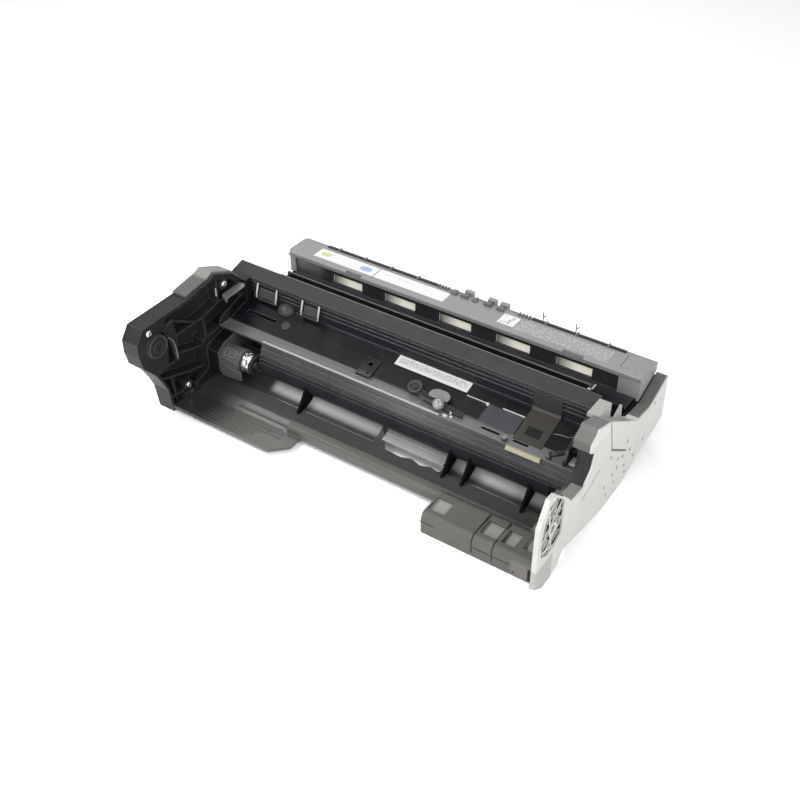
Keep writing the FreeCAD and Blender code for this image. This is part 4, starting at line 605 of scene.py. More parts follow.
class Form:
    """A mesh in the making."""
    def __init__(self):
        self.mesh = bmesh.new()

    def walls(self, rings):
        """Walls from each ring of points to the next one, with a flat face at both ends."""
        rings = [[self.mesh.verts.new(point) for point in ring] for ring in rings]
        for near, far in zip(rings, rings[1:]):
            for step, here in enumerate(near):
                following = (step + 1) % len(near)
                self.mesh.faces.new((here, near[following], far[following], far[step]))
        self.mesh.faces.new(rings[0][::-1])
        self.mesh.faces.new(rings[-1])
        return self

    def prism(self, axis, low, high, outline):
        """An outline pushed along an axis: across X it is drawn in Y and Z, across Y in X and Z."""
        return self.walls([[on_axis(axis, level, *point) for point in outline] for level in (low, high)])

    def block(self, low, high):
        """A box between two corners."""
        return self.prism("Z", low[2], high[2], [(low[0], low[1]), (high[0], low[1]), (high[0], high[1]),
                                                 (low[0], high[1])])

    def turned(self, centre, axis, profile, steps=24):
        """A turned shape: pairs of distance along the axis and radius, from one end to the other."""
        return self.walls([[Vector(centre) + Vector(on_axis(axis, along, *point))
                            for point in circle(radius, steps)] for along, radius in profile])

    def bar(self, points, radius, steps=8):
        """A round bar that follows points, with flat ends."""
        path = [Vector(point) for point in points]
        rings = []
        for index, here in enumerate(path):
            ahead = path[min(index + 1, len(path) - 1)] - path[max(index - 1, 0)]
            turn = ahead.to_track_quat("Z", "Y")
            rings.append([here + turn @ Vector((*point, 0.0)) for point in circle(radius, steps)])
        return self.walls(rings)

    def take(self, mesh):
        """Adds a pattern's mesh."""
        self.mesh.from_mesh(mesh)
        bpy.data.meshes.remove(mesh)
        return self

    def cut_behind(self, depth):
        """Takes away what lies behind a depth."""
        bmesh.ops.bisect_plane(self.mesh, geom=[*self.mesh.verts, *self.mesh.edges, *self.mesh.faces],
                               plane_co=(0.0, depth, 0.0), plane_no=(0.0, 1.0, 0.0), clear_outer=True)
        return self

    def soften(self, width, segments=1, sharp=30.0):
        """Bevels the sharp edges."""
        bmesh.ops.remove_doubles(self.mesh, verts=self.mesh.verts, dist=SAME_PLACE)
        bmesh.ops.recalc_face_normals(self.mesh, faces=self.mesh.faces)
        edges = [edge for edge in self.mesh.edges
                 if len(edge.link_faces) == 2 and edge.calc_face_angle() > math.radians(sharp)]
        bmesh.ops.bevel(self.mesh, geom=edges, offset=width, segments=segments, profile=BEVEL_SHAPE,
                        affect="EDGES", clamp_overlap=True)
        return self

    def piece(self, name, slot, material=None, body="unit_frame", lie=FLAT, smooth=False, replaces=None):
        """The finished object, its place in its mesh, riding on its body."""
        bmesh.ops.transform(self.mesh, matrix=lie, verts=self.mesh.verts)
        bmesh.ops.recalc_face_normals(self.mesh, faces=self.mesh.faces)
        bmesh.ops.transform(self.mesh, matrix=INTO_FRAME, verts=self.mesh.verts)
        mesh = bpy.data.meshes.new(name)
        self.mesh.to_mesh(mesh)
        self.mesh.free()
        mesh.materials.clear()
        mesh.materials.append(material or SLOT_FINISHES[slot])
        for face in mesh.polygons:
            face.use_smooth = smooth
            face.material_index = 0
        made = bpy.data.objects.new(name, mesh)
        bpy.context.scene.collection.objects.link(made)
        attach(made, body)
        if replaces:
            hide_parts(replaces)


def rounded(corners, radius, steps=4):
    """An outline with its corners rounded."""
    points = []
    for index, corner in enumerate(corners):
        here = Vector(corner)
        back = Vector(corners[index - 1]) - here
        on = Vector(corners[(index + 1) % len(corners)]) - here
        reach = min(radius, back.length * LONGEST_ROUND, on.length * LONGEST_ROUND)
        start = here + back.normalized() * reach
        end = here + on.normalized() * reach
        for step in range(steps + 1):
            share = step / steps
            points.append(tuple(start * (1 - share) ** 2 + here * 2 * share * (1 - share) + end * share ** 2))
    return points


def thin_line(start, end, width):
    """A narrow strip between two points of a plane."""
    start, end = Vector(start), Vector(end)
    along = (end - start).normalized()
    side = Vector((-along.y, along.x)) * width / 2
    return [tuple(start - side), tuple(end - side), tuple(end + side), tuple(start + side)]


# Patterns

RIDGE_CORNER_STEPS = 7
RIDGE_SIDES = 6
COIL_STEPS = 20
WIRE_SIDES = 8
DOME_FLATNESS = 0.56
SLOT_DEPTH = 1.6
SLOT_WIDTH = 0.65
SLOT_LENGTH = 3.0
SLOT_REACH = 1.5


def block_row():
    """Small blocks at an even pitch along a line."""
    pattern = Pattern("block_row")
    line = pattern.line(pattern.size("Count", "Int"), pattern.size("Pitch", "Vector"),
                        pattern.size("Start", "Vector"))
    return pattern.close(pattern.spread(line, pattern.block()), SLOT_FINISHES["black_plastic"])


def block_ring():
    """Teeth round an axis along X."""
    pattern = Pattern("block_ring")
    count = pattern.size("Count", "Int")
    spots = pattern.line(count, (0.0, 0.0, 0.0))
    tooth = pattern.moved(pattern.block(), Translation=pattern.size("Reach", "Vector"))
    turn = pattern.node("GeometryNodeInputIndex") * (2 * math.pi) / count
    lean = pattern.node("FunctionNodeEulerToRotation", None,
                        {0: pattern.node("ShaderNodeCombineXYZ", None, {"X": turn})})
    ring = pattern.spread(spots, tooth, Rotation=lean)
    placed_ring = pattern.moved(ring, Translation=pattern.size("Centre", "Vector"))
    return pattern.close(placed_ring, SLOT_FINISHES["black_plastic"])


def blocks_on_points():
    """The same block at each point of the given mesh."""
    pattern = Pattern("blocks_on_points")
    return pattern.close(pattern.spread(pattern.given, pattern.block()), SLOT_FINISHES["black_plastic"])


def moulded_ridges():
    """Parallel ridges that follow the given line, with a rounded corner."""
    pattern = Pattern("moulded_ridges")
    curve = pattern.node("GeometryNodeMeshToCurve", None, {"Mesh": pattern.given})
    bent = pattern.node("GeometryNodeFilletCurve", {"mode": "POLY"},
                        {"Curve": curve, "Count": RIDGE_CORNER_STEPS, "Radius": pattern.size("Corner")})
    starts = pattern.line(pattern.size("Count", "Int"), pattern.size("Step", "Vector"))
    ridges = pattern.wire(pattern.real(pattern.spread(starts, bent)), pattern.size("Thick"), RIDGE_SIDES)
    return pattern.close(ridges, SLOT_FINISHES["guide_plastic"])


def wire_coil():
    """A coil spring along X."""
    pattern = Pattern("wire_coil")
    radius = pattern.size("Radius")
    spiral = pattern.node("GeometryNodeCurveSpiral", None,
                          {"Resolution": COIL_STEPS, "Rotations": pattern.size("Turns"),
                           "Start Radius": radius, "End Radius": radius, "Height": pattern.size("Length")})
    laid = pattern.moved(pattern.wire(spiral, pattern.size("Wire"), WIRE_SIDES),
                         Rotation=(0.0, math.pi / 2, 0.0), Translation=pattern.size("Start", "Vector"))
    return pattern.close(laid, SLOT_FINISHES["bright_metal"])


def screw_heads():
    """Domed heads with a cross recess, facing along X, on the given points."""
    pattern = Pattern("screw_heads")
    ball = pattern.node("GeometryNodeMeshUVSphere", None,
                        {"Segments": 24, "Rings": 12, "Radius": pattern.size("Radius")})
    dome = pattern.moved(ball, Scale=(DOME_FLATNESS, 1.0, 1.0))
    slots = []
    for size in ((SLOT_DEPTH, SLOT_WIDTH, SLOT_LENGTH), (SLOT_DEPTH, SLOT_LENGTH, SLOT_WIDTH)):
        slot = pattern.node("GeometryNodeMeshCube", None, {"Size": size})
        slots.append(pattern.moved(slot, Translation=(SLOT_REACH, 0.0, 0.0)))
    head = pattern.node("GeometryNodeMeshBoolean", {"operation": "DIFFERENCE"},
                        {"Mesh 1": dome, "Mesh 2": slots})
    return pattern.close(pattern.spread(pattern.given, head), SLOT_FINISHES["steel"])


BLOCK_ROW = block_row()
BLOCK_RING = block_ring()
BLOCKS_ON_POINTS = blocks_on_points()
MOULDED_RIDGES = moulded_ridges()
WIRE_COIL = wire_coil()
SCREW_HEADS = screw_heads()


# Small finishes that only the detail pieces have

# Painted highlight: a pale band along the guide sheet's curve, between Y -19.5 and -11.
SHEET_HIGHLIGHT_REGIONS = (
    ((0.42, 0.41, 0.4), {"X": (-100.0, None), "Y": (-19.5, -11.0)}, 2.6),
)
SHEET_BRIGHT = moulded_plastic("guide sheet", (0.05, 0.048, 0.046), 0.34, grain_depth=0.000005, edge_wear_and_highlight=0.0,
                               dust=0.05, edge=0.00005, regions=SHEET_HIGHLIGHT_REGIONS, shine=0.9)
# Painted highlight: the shutter's pale grey stands for the sheet's highlight falling on it.
SHUTTER_HIGHLIGHT_GREY = moulded_plastic("window shutter", (0.3, 0.29, 0.28), 0.35, edge_wear_and_highlight=0.2, shine=0.5)
# Painted shade: near-black skins for the guide fins, whose sides stand in shade.
FIN_SHADE_BLACK = moulded_plastic("fin shade black", (0.003, 0.003, 0.003), 0.6, edge_wear_and_highlight=0.0, dust=0.0, shine=0.05)
LINE_GREY = moulded_plastic("line grey", (0.2, 0.2, 0.2), 0.35, edge_wear_and_highlight=0.2)
LIGHT_EDGE = moulded_plastic("light edge", (0.5, 0.49, 0.47), 0.35, edge_wear_and_highlight=0.2)
SOFT_GREY = moulded_plastic("soft grey", (0.13, 0.13, 0.13), 0.35)
DARK_GREY = moulded_plastic("dark grey", (0.045, 0.045, 0.048), 0.35, edge_wear_and_highlight=0.4)
PITCH_BLACK = moulded_plastic("pitch black", (0.008, 0.008, 0.009), 0.45, edge_wear_and_highlight=0.15, dust=0.05)
BRIGHT_STEEL = SLOT_FINISHES["bright_metal"]


# Drive side

BRACKET_FACE = -155.0
SCREW_PLACES = [(BRACKET_FACE, -85.8, 80.5), (BRACKET_FACE, -3.0, 80.0), (BRACKET_FACE, -54.2, 14.0)]
SCREW_RADIUS = 2.8
COUPLING = (-21.55, 30.04)
SLEEVE_RADIUS = 9.5
SLEEVE_WINDOW_X = -132.0
SLEEVE_WINDOW_LEAN = math.radians(38.0)
NOSE_CENTRE = (0.0, -80.5, 66.5)


def bracket_screws():
    """Domed heads of the three screws in the bracket."""
    Form().take(SCREW_HEADS.mesh({"Radius": SCREW_RADIUS}, SCREW_PLACES)).piece(
        "bracket_screw_heads", "steel", BRIGHT_STEEL, replaces="side_screws")


def coupling_parts():
    """Bright collar with fine teeth and a coil behind it, and the black toothed wheel."""
    centre = (0.0, *COUPLING)
    collar = Form().turned(centre, "X", [(-122.5, 3.2), (-122.5, 6.6), (-122.1, 7.0), (-120.0, 7.0),
                                         (-119.7, 5.6), (-117.6, 5.6), (-117.4, 7.6), (-116.9, 8.1),
                                         (-115.2, 8.1), (-114.6, 7.5), (-114.6, 3.2)], 40)
    collar.take(BLOCK_RING.mesh({"Count": 30, "Block": (2.0, 0.7, 0.75), "Reach": (-121.1, 7.2, 0.0),
                                 "Centre": centre}))
    collar.take(WIRE_COIL.mesh({"Radius": 6.4, "Turns": 2.6, "Length": 2.0, "Wire": 0.45,
                                "Start": (-119.7, *COUPLING)}))
    collar.piece("coupling_collar_ring", "bright_metal", body="drive_shaft", replaces="coupling_collar")
    wheel = Form().turned(centre, "X", [(-114.0, 3.2), (-114.0, 6.6), (-113.6, 7.2), (-112.4, 7.2),
                                        (-112.0, 6.6), (-112.0, 5.0), (-112.5, 4.8), (-112.5, 3.2)], 36)
    wheel.take(BLOCK_RING.mesh({"Count": 24, "Block": (1.5, 1.0, 0.9), "Reach": (-113.0, 7.4, 0.0),
                                "Centre": centre}))
    wheel.piece("coupling_toothed_wheel", "black_plastic", PITCH_BLACK, body="drive_shaft",
                replaces="coupling_wheel")


def sleeve_window():
    """Raised frame on the coupling sleeve, with a bar across it."""
    lie = (Matrix.Translation((SLEEVE_WINDOW_X, COUPLING[0] - SLEEVE_RADIUS * math.sin(SLEEVE_WINDOW_LEAN),
                               COUPLING[1] + SLEEVE_RADIUS * math.cos(SLEEVE_WINDOW_LEAN)))
           @ Matrix.Rotation(SLEEVE_WINDOW_LEAN, 4, "X"))
    form = Form()
    for low, high in (((-5.5, -3.2), (5.5, -2.5)), ((-5.5, 2.5), (5.5, 3.2)), ((-5.5, -3.2), (-4.8, 3.2)),
                      ((4.8, -3.2), (5.5, 3.2)), ((-1.2, -3.2), (-0.6, 3.2))):
        form.block((*low, -1.2), (*high, 0.5))
    form.piece("sleeve_window_frame", "guide_plastic", SOFT_GREY, lie=lie)


def contact_leaf():
    """Folded contact that reaches over the cradle's end, and the short pin beside it."""
    leaf = Form().prism("Z", 72.0, 72.7, [(BRACKET_FACE, -6.0), (-147.2, -9.8), (-147.6, 11.8),
                                          (-150.0, 14.8), (BRACKET_FACE, 14.8)])
    leaf.prism("Z", 69.0, 72.3, thin_line((-154.9, -6.2), (-147.4, -9.6), 0.7))
    leaf.soften(0.15).piece("contact_leaf", "steel", NODE_FINISHES["bracket_contact"],
                            replaces="bracket_contact")
    Form().bar([(-158.0, -9.4, 78.6), (-158.0, -9.9, 71.6)], 0.7).piece("contact_pin", "steel", LIGHT_EDGE)


def bracket_rim_web():
    """Wall that joins the bracket's end to the cradle's rim."""
    web = Form().prism("X", -169.0, -150.4, [(16.4, 50.0), (23.6, 56.0), (23.6, 74.6), (16.4, 74.6)])
    web.soften(0.3).piece("bracket_rim_web", "black_plastic", PITCH_BLACK)


def bracket_trim():
    """The light curved edge on the bracket's block, and the ring on its nose."""
    edge = Form().bar([(-156.2, -67.4, 66.0), (-156.0, -64.6, 63.2), (-156.0, -62.2, 59.0),
                       (-156.0, -60.6, 51.0), (-156.0, -60.3, 43.0)], 0.75)
    edge.piece("bracket_block_edge", "dark_plastic", SOFT_GREY)
    ring = Form().turned(NOSE_CENTRE, "X", [(-153.2, 9.4), (-152.6, 9.4), (-152.3, 9.0), (-152.3, 8.3),
                                            (-152.8, 8.0)], 40)
    ring.piece("bracket_nose_ring", "dark_plastic")


# Toner cradle

CLIP_POSTS = (-142.4, -123.2, -97.6, -81.4)
CLIP_BASES = ((-141.2, -124.4), (-96.4, -82.6))
WALL_FOOT_Y = 24.0
DOME_CENTRE = (-114.8, 23.6, 55.5)
# On the sloping floor, places are measured along the slope and heights across it
DISC_CENTRE = (-105.9, 13.3, 0.0)
LEVER_PIVOT = (21.5, 4.18, 0.0)
KNOB_CENTRE = (46.0, -2.9, 0.0)
FLANGE_PIN = (75.6, 15.2, 0.0)
LEVER_UNDERSIDE = 3.9
HOOK_LIFT = 0.6
LEDGE_BLOCKS = (((52.5, -12.6), (56.2, -11.0), 1.6), ((57.6, -11.6), (59.6, -9.4), 1.0),
                ((56.0, -8.4), (57.6, -6.6), 2.6), ((150.6, -9.4), (155.6, -1.6), 1.8))
PIN_PLACES = ((102.0, -10.5, LEDGE_TOP), (136.5, -10.5, LEDGE_TOP))
ARM_TIP = (155.0, -0.8, 57.6)
LEDGE_LINES = ((-11.0, -111.0, 52.0), (-9.4, -104.0, 30.0), (-7.6, -96.0, 10.0))


def wall_clips():
    """Pale bars as painted highlights on the edges of the two clips of the rear wall, and the sloping plates
    between them.
    """
    posts = Form()
    for x in CLIP_POSTS:
        posts.bar([(x, 22.2, 72.0), (x, 20.4, 66.0), (x, 19.0, 60.4)], 0.7)
    posts.piece("clip_posts", "light_plastic", LIGHT_EDGE, smooth=True)
    plates = Form()
    for low, high in CLIP_BASES:
        plates.prism("X", low, high, [(19.3, 58.6), (19.3, 60.4), (22.6, 67.6), (23.8, 67.6), (23.8, 66.0),
                                      (21.0, 58.8)])
    plates.soften(0.2).piece("clip_plates", "black_plastic", DARK_GREY)


def cradle_discs():
    """Half dome at the foot of the rear wall, and a small disc on the floor."""
    dome = Form().turned(DOME_CENTRE, "Z", [(-1.5, 8.0), (0.5, 8.0), (2.6, 7.5), (4.4, 6.2), (5.6, 4.0),
                                            (6.1, 1.2)], 28)
    dome.cut_behind(WALL_FOOT_Y)
    bmesh.ops.holes_fill(dome.mesh, edges=dome.mesh.edges)
    dome.piece("cradle_wall_dome", "black_plastic", DARK_GREY, smooth=True)
    disc = Form().turned(DISC_CENTRE, "Z", [(-0.2, 3.6), (0.5, 3.6), (0.8, 3.2), (0.8, 1.0)])
    disc.piece("cradle_floor_disc", "black_plastic", DARK_GREY, lie=CRADLE_FLOOR)


def lever_parts():
    """Dish round the pivot, the pale wing over the mouth, the domed knob and the rib on the arm."""
    riding = {"body": "lever", "lie": CRADLE_FLOOR}
    dish = Form().turned(LEVER_PIVOT, "Z", [(3.8, 5.5), (5.0, 5.5), (5.3, 5.2), (5.3, 4.3), (5.0, 4.0),
                                            (4.2, 4.0), (4.2, 1.6), (5.4, 1.4), (5.4, 0.4)], 32)
    dish.piece("lever_pivot_dish", "dark_plastic", DARK_GREY, **riding)
    wing = rounded([(34.0, 1.4), (50.4, 1.4), (51.0, 6.4), (47.0, 9.6), (38.5, 9.6), (34.2, 6.4)], 3.0)
    Form().prism("Z", LEVER_UNDERSIDE, 5.1, wing).soften(0.3, 2).piece(
        "lever_wing", "dark_plastic", moulded_plastic("lever wing", (0.2, 0.2, 0.2), 0.32), **riding)
    knob = Form().turned(KNOB_CENTRE, "Z", [(LEVER_UNDERSIDE, 4.4), (6.6, 4.3), (8.0, 3.8), (9.0, 2.6),
                                            (9.5, 1.2)], 28)
    knob.piece("lever_knob_dome", "guide_plastic", NODE_FINISHES["lever_knob"], smooth=True,
               replaces="lever_knob", **riding)
    rib = rounded([(28.0, -0.6), (44.0, -1.6), (44.0, -3.4), (30.0, -2.8)], 1.0)
    Form().prism("Z", LEVER_UNDERSIDE, 4.7, rib).soften(0.2).piece(
        "lever_arm_rib", "dark_plastic", DARK_GREY, **riding)


def floor_parts():
    """Sensor plate, thin bright flanges and the dark bed of the film's hole on the cradle's floor."""
    plate = Form().prism("Z", 0.0, 0.8, [(75.6, 0.4), (76.8, 16.2), (104.6, 16.2), (104.6, 1.0),
                                         (95.0, -1.2)])
    plate.soften(0.2).piece("sensor_plate", "dark_plastic",
                            moulded_plastic("sensor plate", (0.05, 0.05, 0.056), 0.34), lie=CRADLE_FLOOR)
    Form().block((107.5, 1.0, 0.03), (121.5, 12.0, 0.13)).piece(
        "film_hole_bed", "black_plastic", PITCH_BLACK, lie=CRADLE_FLOOR)
    flanges = Form()
    flanges.prism("Z", 0.0, 1.3, thin_line((58.2, 15.7), (74.4, 15.7), 0.6))
    flanges.prism("Z", 0.0, 1.5, thin_line((87.6, 16.4), (105.2, 16.4), 0.8))
    flanges.turned(FLANGE_PIN, "Z", [(0.0, 1.5), (1.4, 1.4), (2.2, 0.6)], 16)
    flanges.piece("floor_flanges", "steel", LIGHT_EDGE, lie=CRADLE_FLOOR)


def ledge_parts():
    """Small blocks and fine raised lines on the cradle's ledge."""
    blocks = Form()
    for low, high, tall in LEDGE_BLOCKS:
        blocks.block((*low, LEDGE_TOP), (*high, LEDGE_TOP + tall))
    blocks.soften(0.2).piece("ledge_blocks", "light_plastic", LIGHT_EDGE)
    lines = Form()
    for y, low, high in LEDGE_LINES:
        lines.bar([(low, y, LEDGE_TOP), (high, y, LEDGE_TOP)], 0.22, 6)
    lines.piece("ledge_lines", "black_plastic", LINE_GREY)


def film_hook():
    """Thin bent wire beside the film tab."""
    points = [(129.4, 9.0), (134.0, 10.4), (139.6, 10.6), (142.6, 12.0), (144.4, 16.0)]
    Form().bar([(x, y, floor_height(y) + HOOK_LIFT) for x, y in points], 0.5).piece(
        "film_hook", "steel", SOFT_GREY, smooth=True)


def black_arm():
    """Arm from the strip's right pin to the side plate, with a bright tip."""
    arm = Form().bar([(136.6, -11.2, 51.6), (141.0, -8.8, 52.6), (147.0, -4.6, 54.0), (152.0, -0.6, 55.4),
                      (156.9, 3.0, 56.4)], 1.9, 10)
    arm.piece("black_arm", "black_plastic", NODE_FINISHES["notch_block"], smooth=True)
    tip = Form().turned(ARM_TIP, "Z", [(-1.6, 1.6), (0.2, 1.6), (1.2, 1.2), (1.7, 0.4)], 18)
    tip.piece("black_arm_tip", "steel", BRIGHT_STEEL, smooth=True)


def strip_pins():
    """Dark pins with a bright rim at the ends of the foam strip."""
    posts = Form()
    rims = Form()
    for centre in PIN_PLACES:
        posts.turned(centre, "Z", [(0.0, 2.2), (2.6, 2.2), (2.6, 1.5), (2.0, 1.3), (2.0, 0.4)])
        rims.turned(centre, "Z", [(2.5, 2.2), (3.0, 2.1), (3.0, 1.6), (2.6, 1.5)])
    posts.piece("strip_pin_posts", "steel", DARK_GREY, replaces="strip_pins")
    rims.piece("strip_pin_rims", "steel", LINE_GREY)


# Rear housing

RAIL_SPANS = ((-134.0, -26.0), (60.0, 138.0))
RAIL_BLOCK_PITCH = 26.0
RAIL_BLOCK_INSET = 12.0
TOOTH_STARTS = (-24.0, 49.0)
TOOTH_PITCH = 2.9
TEETH = 4
COVER_BLOCKS = ((-11.6, -5.4, 2.2), (-1.6, 4.6, 3.0), (8.6, 13.0, 2.0), (19.4, 25.6, 3.0), (30.4, 36.6, 2.6))
COVER_SINK = 0.1
WHISKER_PLACES = (66.7, 94.6)
LIP_BEADS = ((79.75, 66.9), (79.7, 65.6), (79.85, 64.5))


def cover_rails():
    """Hinge rails along the lid with their blocks and teeth, and the dark groove before them."""
    groove = Form()
    rails = Form()
    for low, high in RAIL_SPANS:
        groove.prism("X", low, high, [(102.6, 67.9), (102.6, 68.5), (103.0, 68.8), (104.2, 68.8),
                                      (104.4, 67.9)])
        rails.prism("X", low, high, [(105.2, 67.4), (105.2, 68.6), (105.5, 68.9), (106.0, 68.6),
                                     (106.0, 67.2)])
        rails.take(BLOCK_ROW.mesh({"Count": int((high - low) / RAIL_BLOCK_PITCH), "Block": (1.5, 4.6, 1.5),
                                   "Start": (low + RAIL_BLOCK_INSET, 104.4, 68.4),
                                   "Pitch": (RAIL_BLOCK_PITCH, 0.0, 0.0)}))
    for start in TOOTH_STARTS:
        rails.take(BLOCK_ROW.mesh({"Count": TEETH, "Block": (1.2, 4.2, 1.6), "Start": (start, 103.6, 68.5),
                                   "Pitch": (TOOTH_PITCH, 0.0, 0.0)}))
    groove.piece("cover_rail_groove", "black_plastic", PITCH_BLACK)
    rails.piece("cover_hinge_rails", "cover_plastic", SOFT_GREY)


def cover_trim():
    """Blocks and whiskers on the lid, and the beads along its lip."""
    blocks = Form()
    for low, high, tall in COVER_BLOCKS:
        blocks.block((low, 99.4, COVER_TOP - COVER_SINK), (high, 102.4, COVER_TOP + tall))
        blocks.block((low + 1.2, 102.6, COVER_TOP - COVER_SINK), (high - 1.2, 105.8, COVER_TOP + tall * 0.6))
    blocks.soften(0.3).piece("cover_blocks", "cover_plastic", SOFT_GREY)
    whiskers = Form()
    for x in WHISKER_PLACES:
        whiskers.bar([(x, 108.4, 66.4), (x + 0.3, 108.9, 70.0), (x - 0.8, 109.4, 73.6)], 0.4, 6)
        whiskers.bar([(x + 0.2, 108.8, 69.4), (x + 2.4, 109.0, 71.8)], 0.35, 6)
    whiskers.piece("cover_whiskers", "black_plastic", PITCH_BLACK)
    beads = Form()
    for y, z in LIP_BEADS:
        beads.bar([(-158.0, y, z), (160.4, y, z)], 0.32, 6)
    beads.piece("cover_lip_beads", "cover_plastic", LINE_GREY)


def slit_beads():
    """Thin line along the top of the slit wall, the rail in front of it, and their end cap."""
    rails = Form().bar([(-147.6, 66.6, 58.1), (129.0, 66.6, 58.1)], 0.35, 6)
    rails.block((-151.0, 59.8, 56.4), (129.4, 60.5, 58.2))
    rails.piece("slit_rails", "light_plastic", LINE_GREY)
    cap = Form()
    cap.block((129.2, 59.4, 59.0), (132.8, 61.0, 59.5))
    cap.block((131.8, 59.4, 59.0), (132.8, 67.4, 59.5))
    cap.piece("slit_end_cap", "light_plastic", LIGHT_EDGE)


# Far side

POCKET = [(-68, 74), (-54.5, 62.2), (-54.5, 33), (-62.5, 28.5), (-73, 27.5), (-81.5, 32), (-83.4, 46.5),
          (-81.5, 58), (-75.6, 72)]
POCKET_MIDDLE = (-69.0, 50.0)
SHORTEST_RIB = 3.0
LATTICE_SPAN = (166.6, 168.6)
PARALLEL = 1e-6
# Each family of ribs: its direction, pitch, ribs on either side of the middle one, and width
LATTICE = (((0.46, 0.89), 7.4, 1, 0.8), ((0.96, 0.28), 6.2, 4, 0.7))
PLATE_HOLES = ((45.5, 39.5), (40, 29.5), (52.7, 27), (61, 15), (31.6, 33), (31.6, 25), (45.6, 17.5),
               (48.5, 8.5), (17.5, 44.5), (24.3, 23.5), (28.7, 13.5), (12.3, 20.3), (17.3, 10.5),
               (77.6, 19), (91, 43.5))
INSERT_SIZE = (2.2, 2.3, 3.3)
INSERT_X = 168.15
GROOVE_SPAN = (168.4, 169.3)
GROOVE_WIDTH = 1.5
PLATE_GROOVES = (((8, 82), (16.3, 52.2)), ((16.3, 52.2), (44.8, 31.7)), ((-0.7, 46.8), (-25.7, 38.9)))


def across_pocket(start, along):
    """Where a line enters and leaves the lens pocket, or nothing."""
    met = []
    for here, following in zip(POCKET, POCKET[1:] + POCKET[:1]):
        edge = Vector(following) - Vector(here)
        turn = along.cross(edge)
        if abs(turn) < PARALLEL:
            continue
        gap = Vector(here) - start
        if 0.0 <= gap.cross(along) / turn <= 1.0:
            met.append(gap.cross(edge) / turn)
    if len(met) < 2 or max(met) - min(met) < SHORTEST_RIB:
        return None
    return start + along * min(met), start + along * max(met)


def lens_lattice():
    """Fine ribs that cross in the lens pocket."""
    form = Form()
    for direction, pitch, count, width in LATTICE:
        side = Vector((-direction[1], direction[0]))
        for step in range(-count, count + 1):
            ends = across_pocket(Vector(POCKET_MIDDLE) + side * pitch * step, Vector(direction))
            if ends:
                form.prism("X", *LATTICE_SPAN, thin_line(*ends, width))
    form.piece("lens_lattice", "light_plastic", LIGHT_EDGE)


def plate_marks():
    """Dark inside of the plate's openings and of its grooves."""
    inserts = BLOCKS_ON_POINTS.mesh({"Block": INSERT_SIZE}, [(INSERT_X, y, z) for y, z in PLATE_HOLES])
    Form().take(inserts).piece("plate_opening_inserts", "black_plastic", PITCH_BLACK)
    grooves = Form()
    for start, end in PLATE_GROOVES:
        grooves.prism("X", *GROOVE_SPAN, thin_line(start, end, GROOVE_WIDTH))
    grooves.piece("plate_groove_beds", "light_plastic",
                  moulded_plastic("groove bed", (0.16, 0.155, 0.145), 0.5, edge_wear_and_highlight=0.1, dust=0.2))


# Guide and foot

FIN_PLACES = (-66.0, 64.0, 80.0, 128.0)
FIN_THICK = 1.8
FIN_SKIN = 0.1
SHEET_CENTRE = (-26.0, 33.5)
SHEET_FACE_RADIUS = 23.8
SHEET_BACK_RADIUS = 24.8
SHEET_ANGLE = math.radians(38.4)
SHEET_STEPS = 24
SHEET_SPANS = ((-150.0, 0.9), (61.2, 141.8))
WING_LINE = [(-146.0, -44.0, 6.1), (-146.0, -70.6, 6.1), (-88.0, -70.6, 6.1)]
WING_REAR_Y = -42.6
FOOT_SEAMS = (117.0, 132.6)
SEAM_WIDTH = 1.0
FOOT_HOLE = (149.4, -77.1, 3.2)
FOOT_LINE_SPAN = (-77.12, -76.7)
FOOT_LINES = (((117.0, 8.4), (146.0, 8.4), 0.8), ((76.2, 10.2), (88.0, 10.2), 0.7))


def guide_sheet():
    """Smooth skin of the curved sheet, on both sides of its window, and near-black skins on its fins as
    painted shade.
    """
    face, back = [[(SHEET_CENTRE[0] + radius * math.sin(turn), SHEET_CENTRE[1] - radius * math.cos(turn))
                   for turn in (SHEET_ANGLE * step / SHEET_STEPS for step in range(SHEET_STEPS + 1))]
                  for radius in (SHEET_FACE_RADIUS, SHEET_BACK_RADIUS)]
    skin = Form()
    for low, high in SHEET_SPANS:
        skin.prism("X", low, high, face + back[::-1])
    skin.piece("guide_sheet_skin", "guide_plastic", SHEET_BRIGHT, smooth=True)
    fins = Form()
    for x in FIN_PLACES:
        fins.prism("X", x - FIN_SKIN, x + FIN_THICK + FIN_SKIN,
                   [(-11.2, 12.9), (-11.2, 32.6), (-16.2, 32.6), (-32.2, 8.7), (-20.0, 9.2)])
    fins.piece("guide_fin_shade_skins", "guide_plastic", FIN_SHADE_BLACK)


def window_shutter():
    """Plate in the upper part of the guide's window, painted pale grey for the sheet's highlight on it, and
    the dark lip under it.
    """
    plate = Form().prism("X", 6.0, 59.6, [(-11.7, 13.4), (-11.7, 14.3), (-15.6, 12.2), (-21.0, 10.4),
                                          (-21.0, 9.5), (-15.6, 11.3)])
    plate.soften(0.15).piece("window_shutter", "pale_plastic", SHUTTER_HIGHLIGHT_GREY)
    lip = Form().prism("X", 1.4, 30.0, [(-12.4, 12.0), (-12.4, 12.8), (-16.6, 10.9), (-16.6, 10.1)])
    lip.piece("window_lip", "guide_plastic", DARK_GREY)


def wing_ridges():
    """Rounded ridges that sweep round the corner of the wing."""
    ridges = MOULDED_RIDGES.mesh({"Corner": 20.0, "Thick": 0.55, "Count": 9, "Step": (3.4, 2.9, 0.0)},
                                 WING_LINE, [(0, 1), (1, 2)])
    Form().take(ridges).cut_behind(WING_REAR_Y).piece("wing_ridges", "guide_plastic", smooth=True)


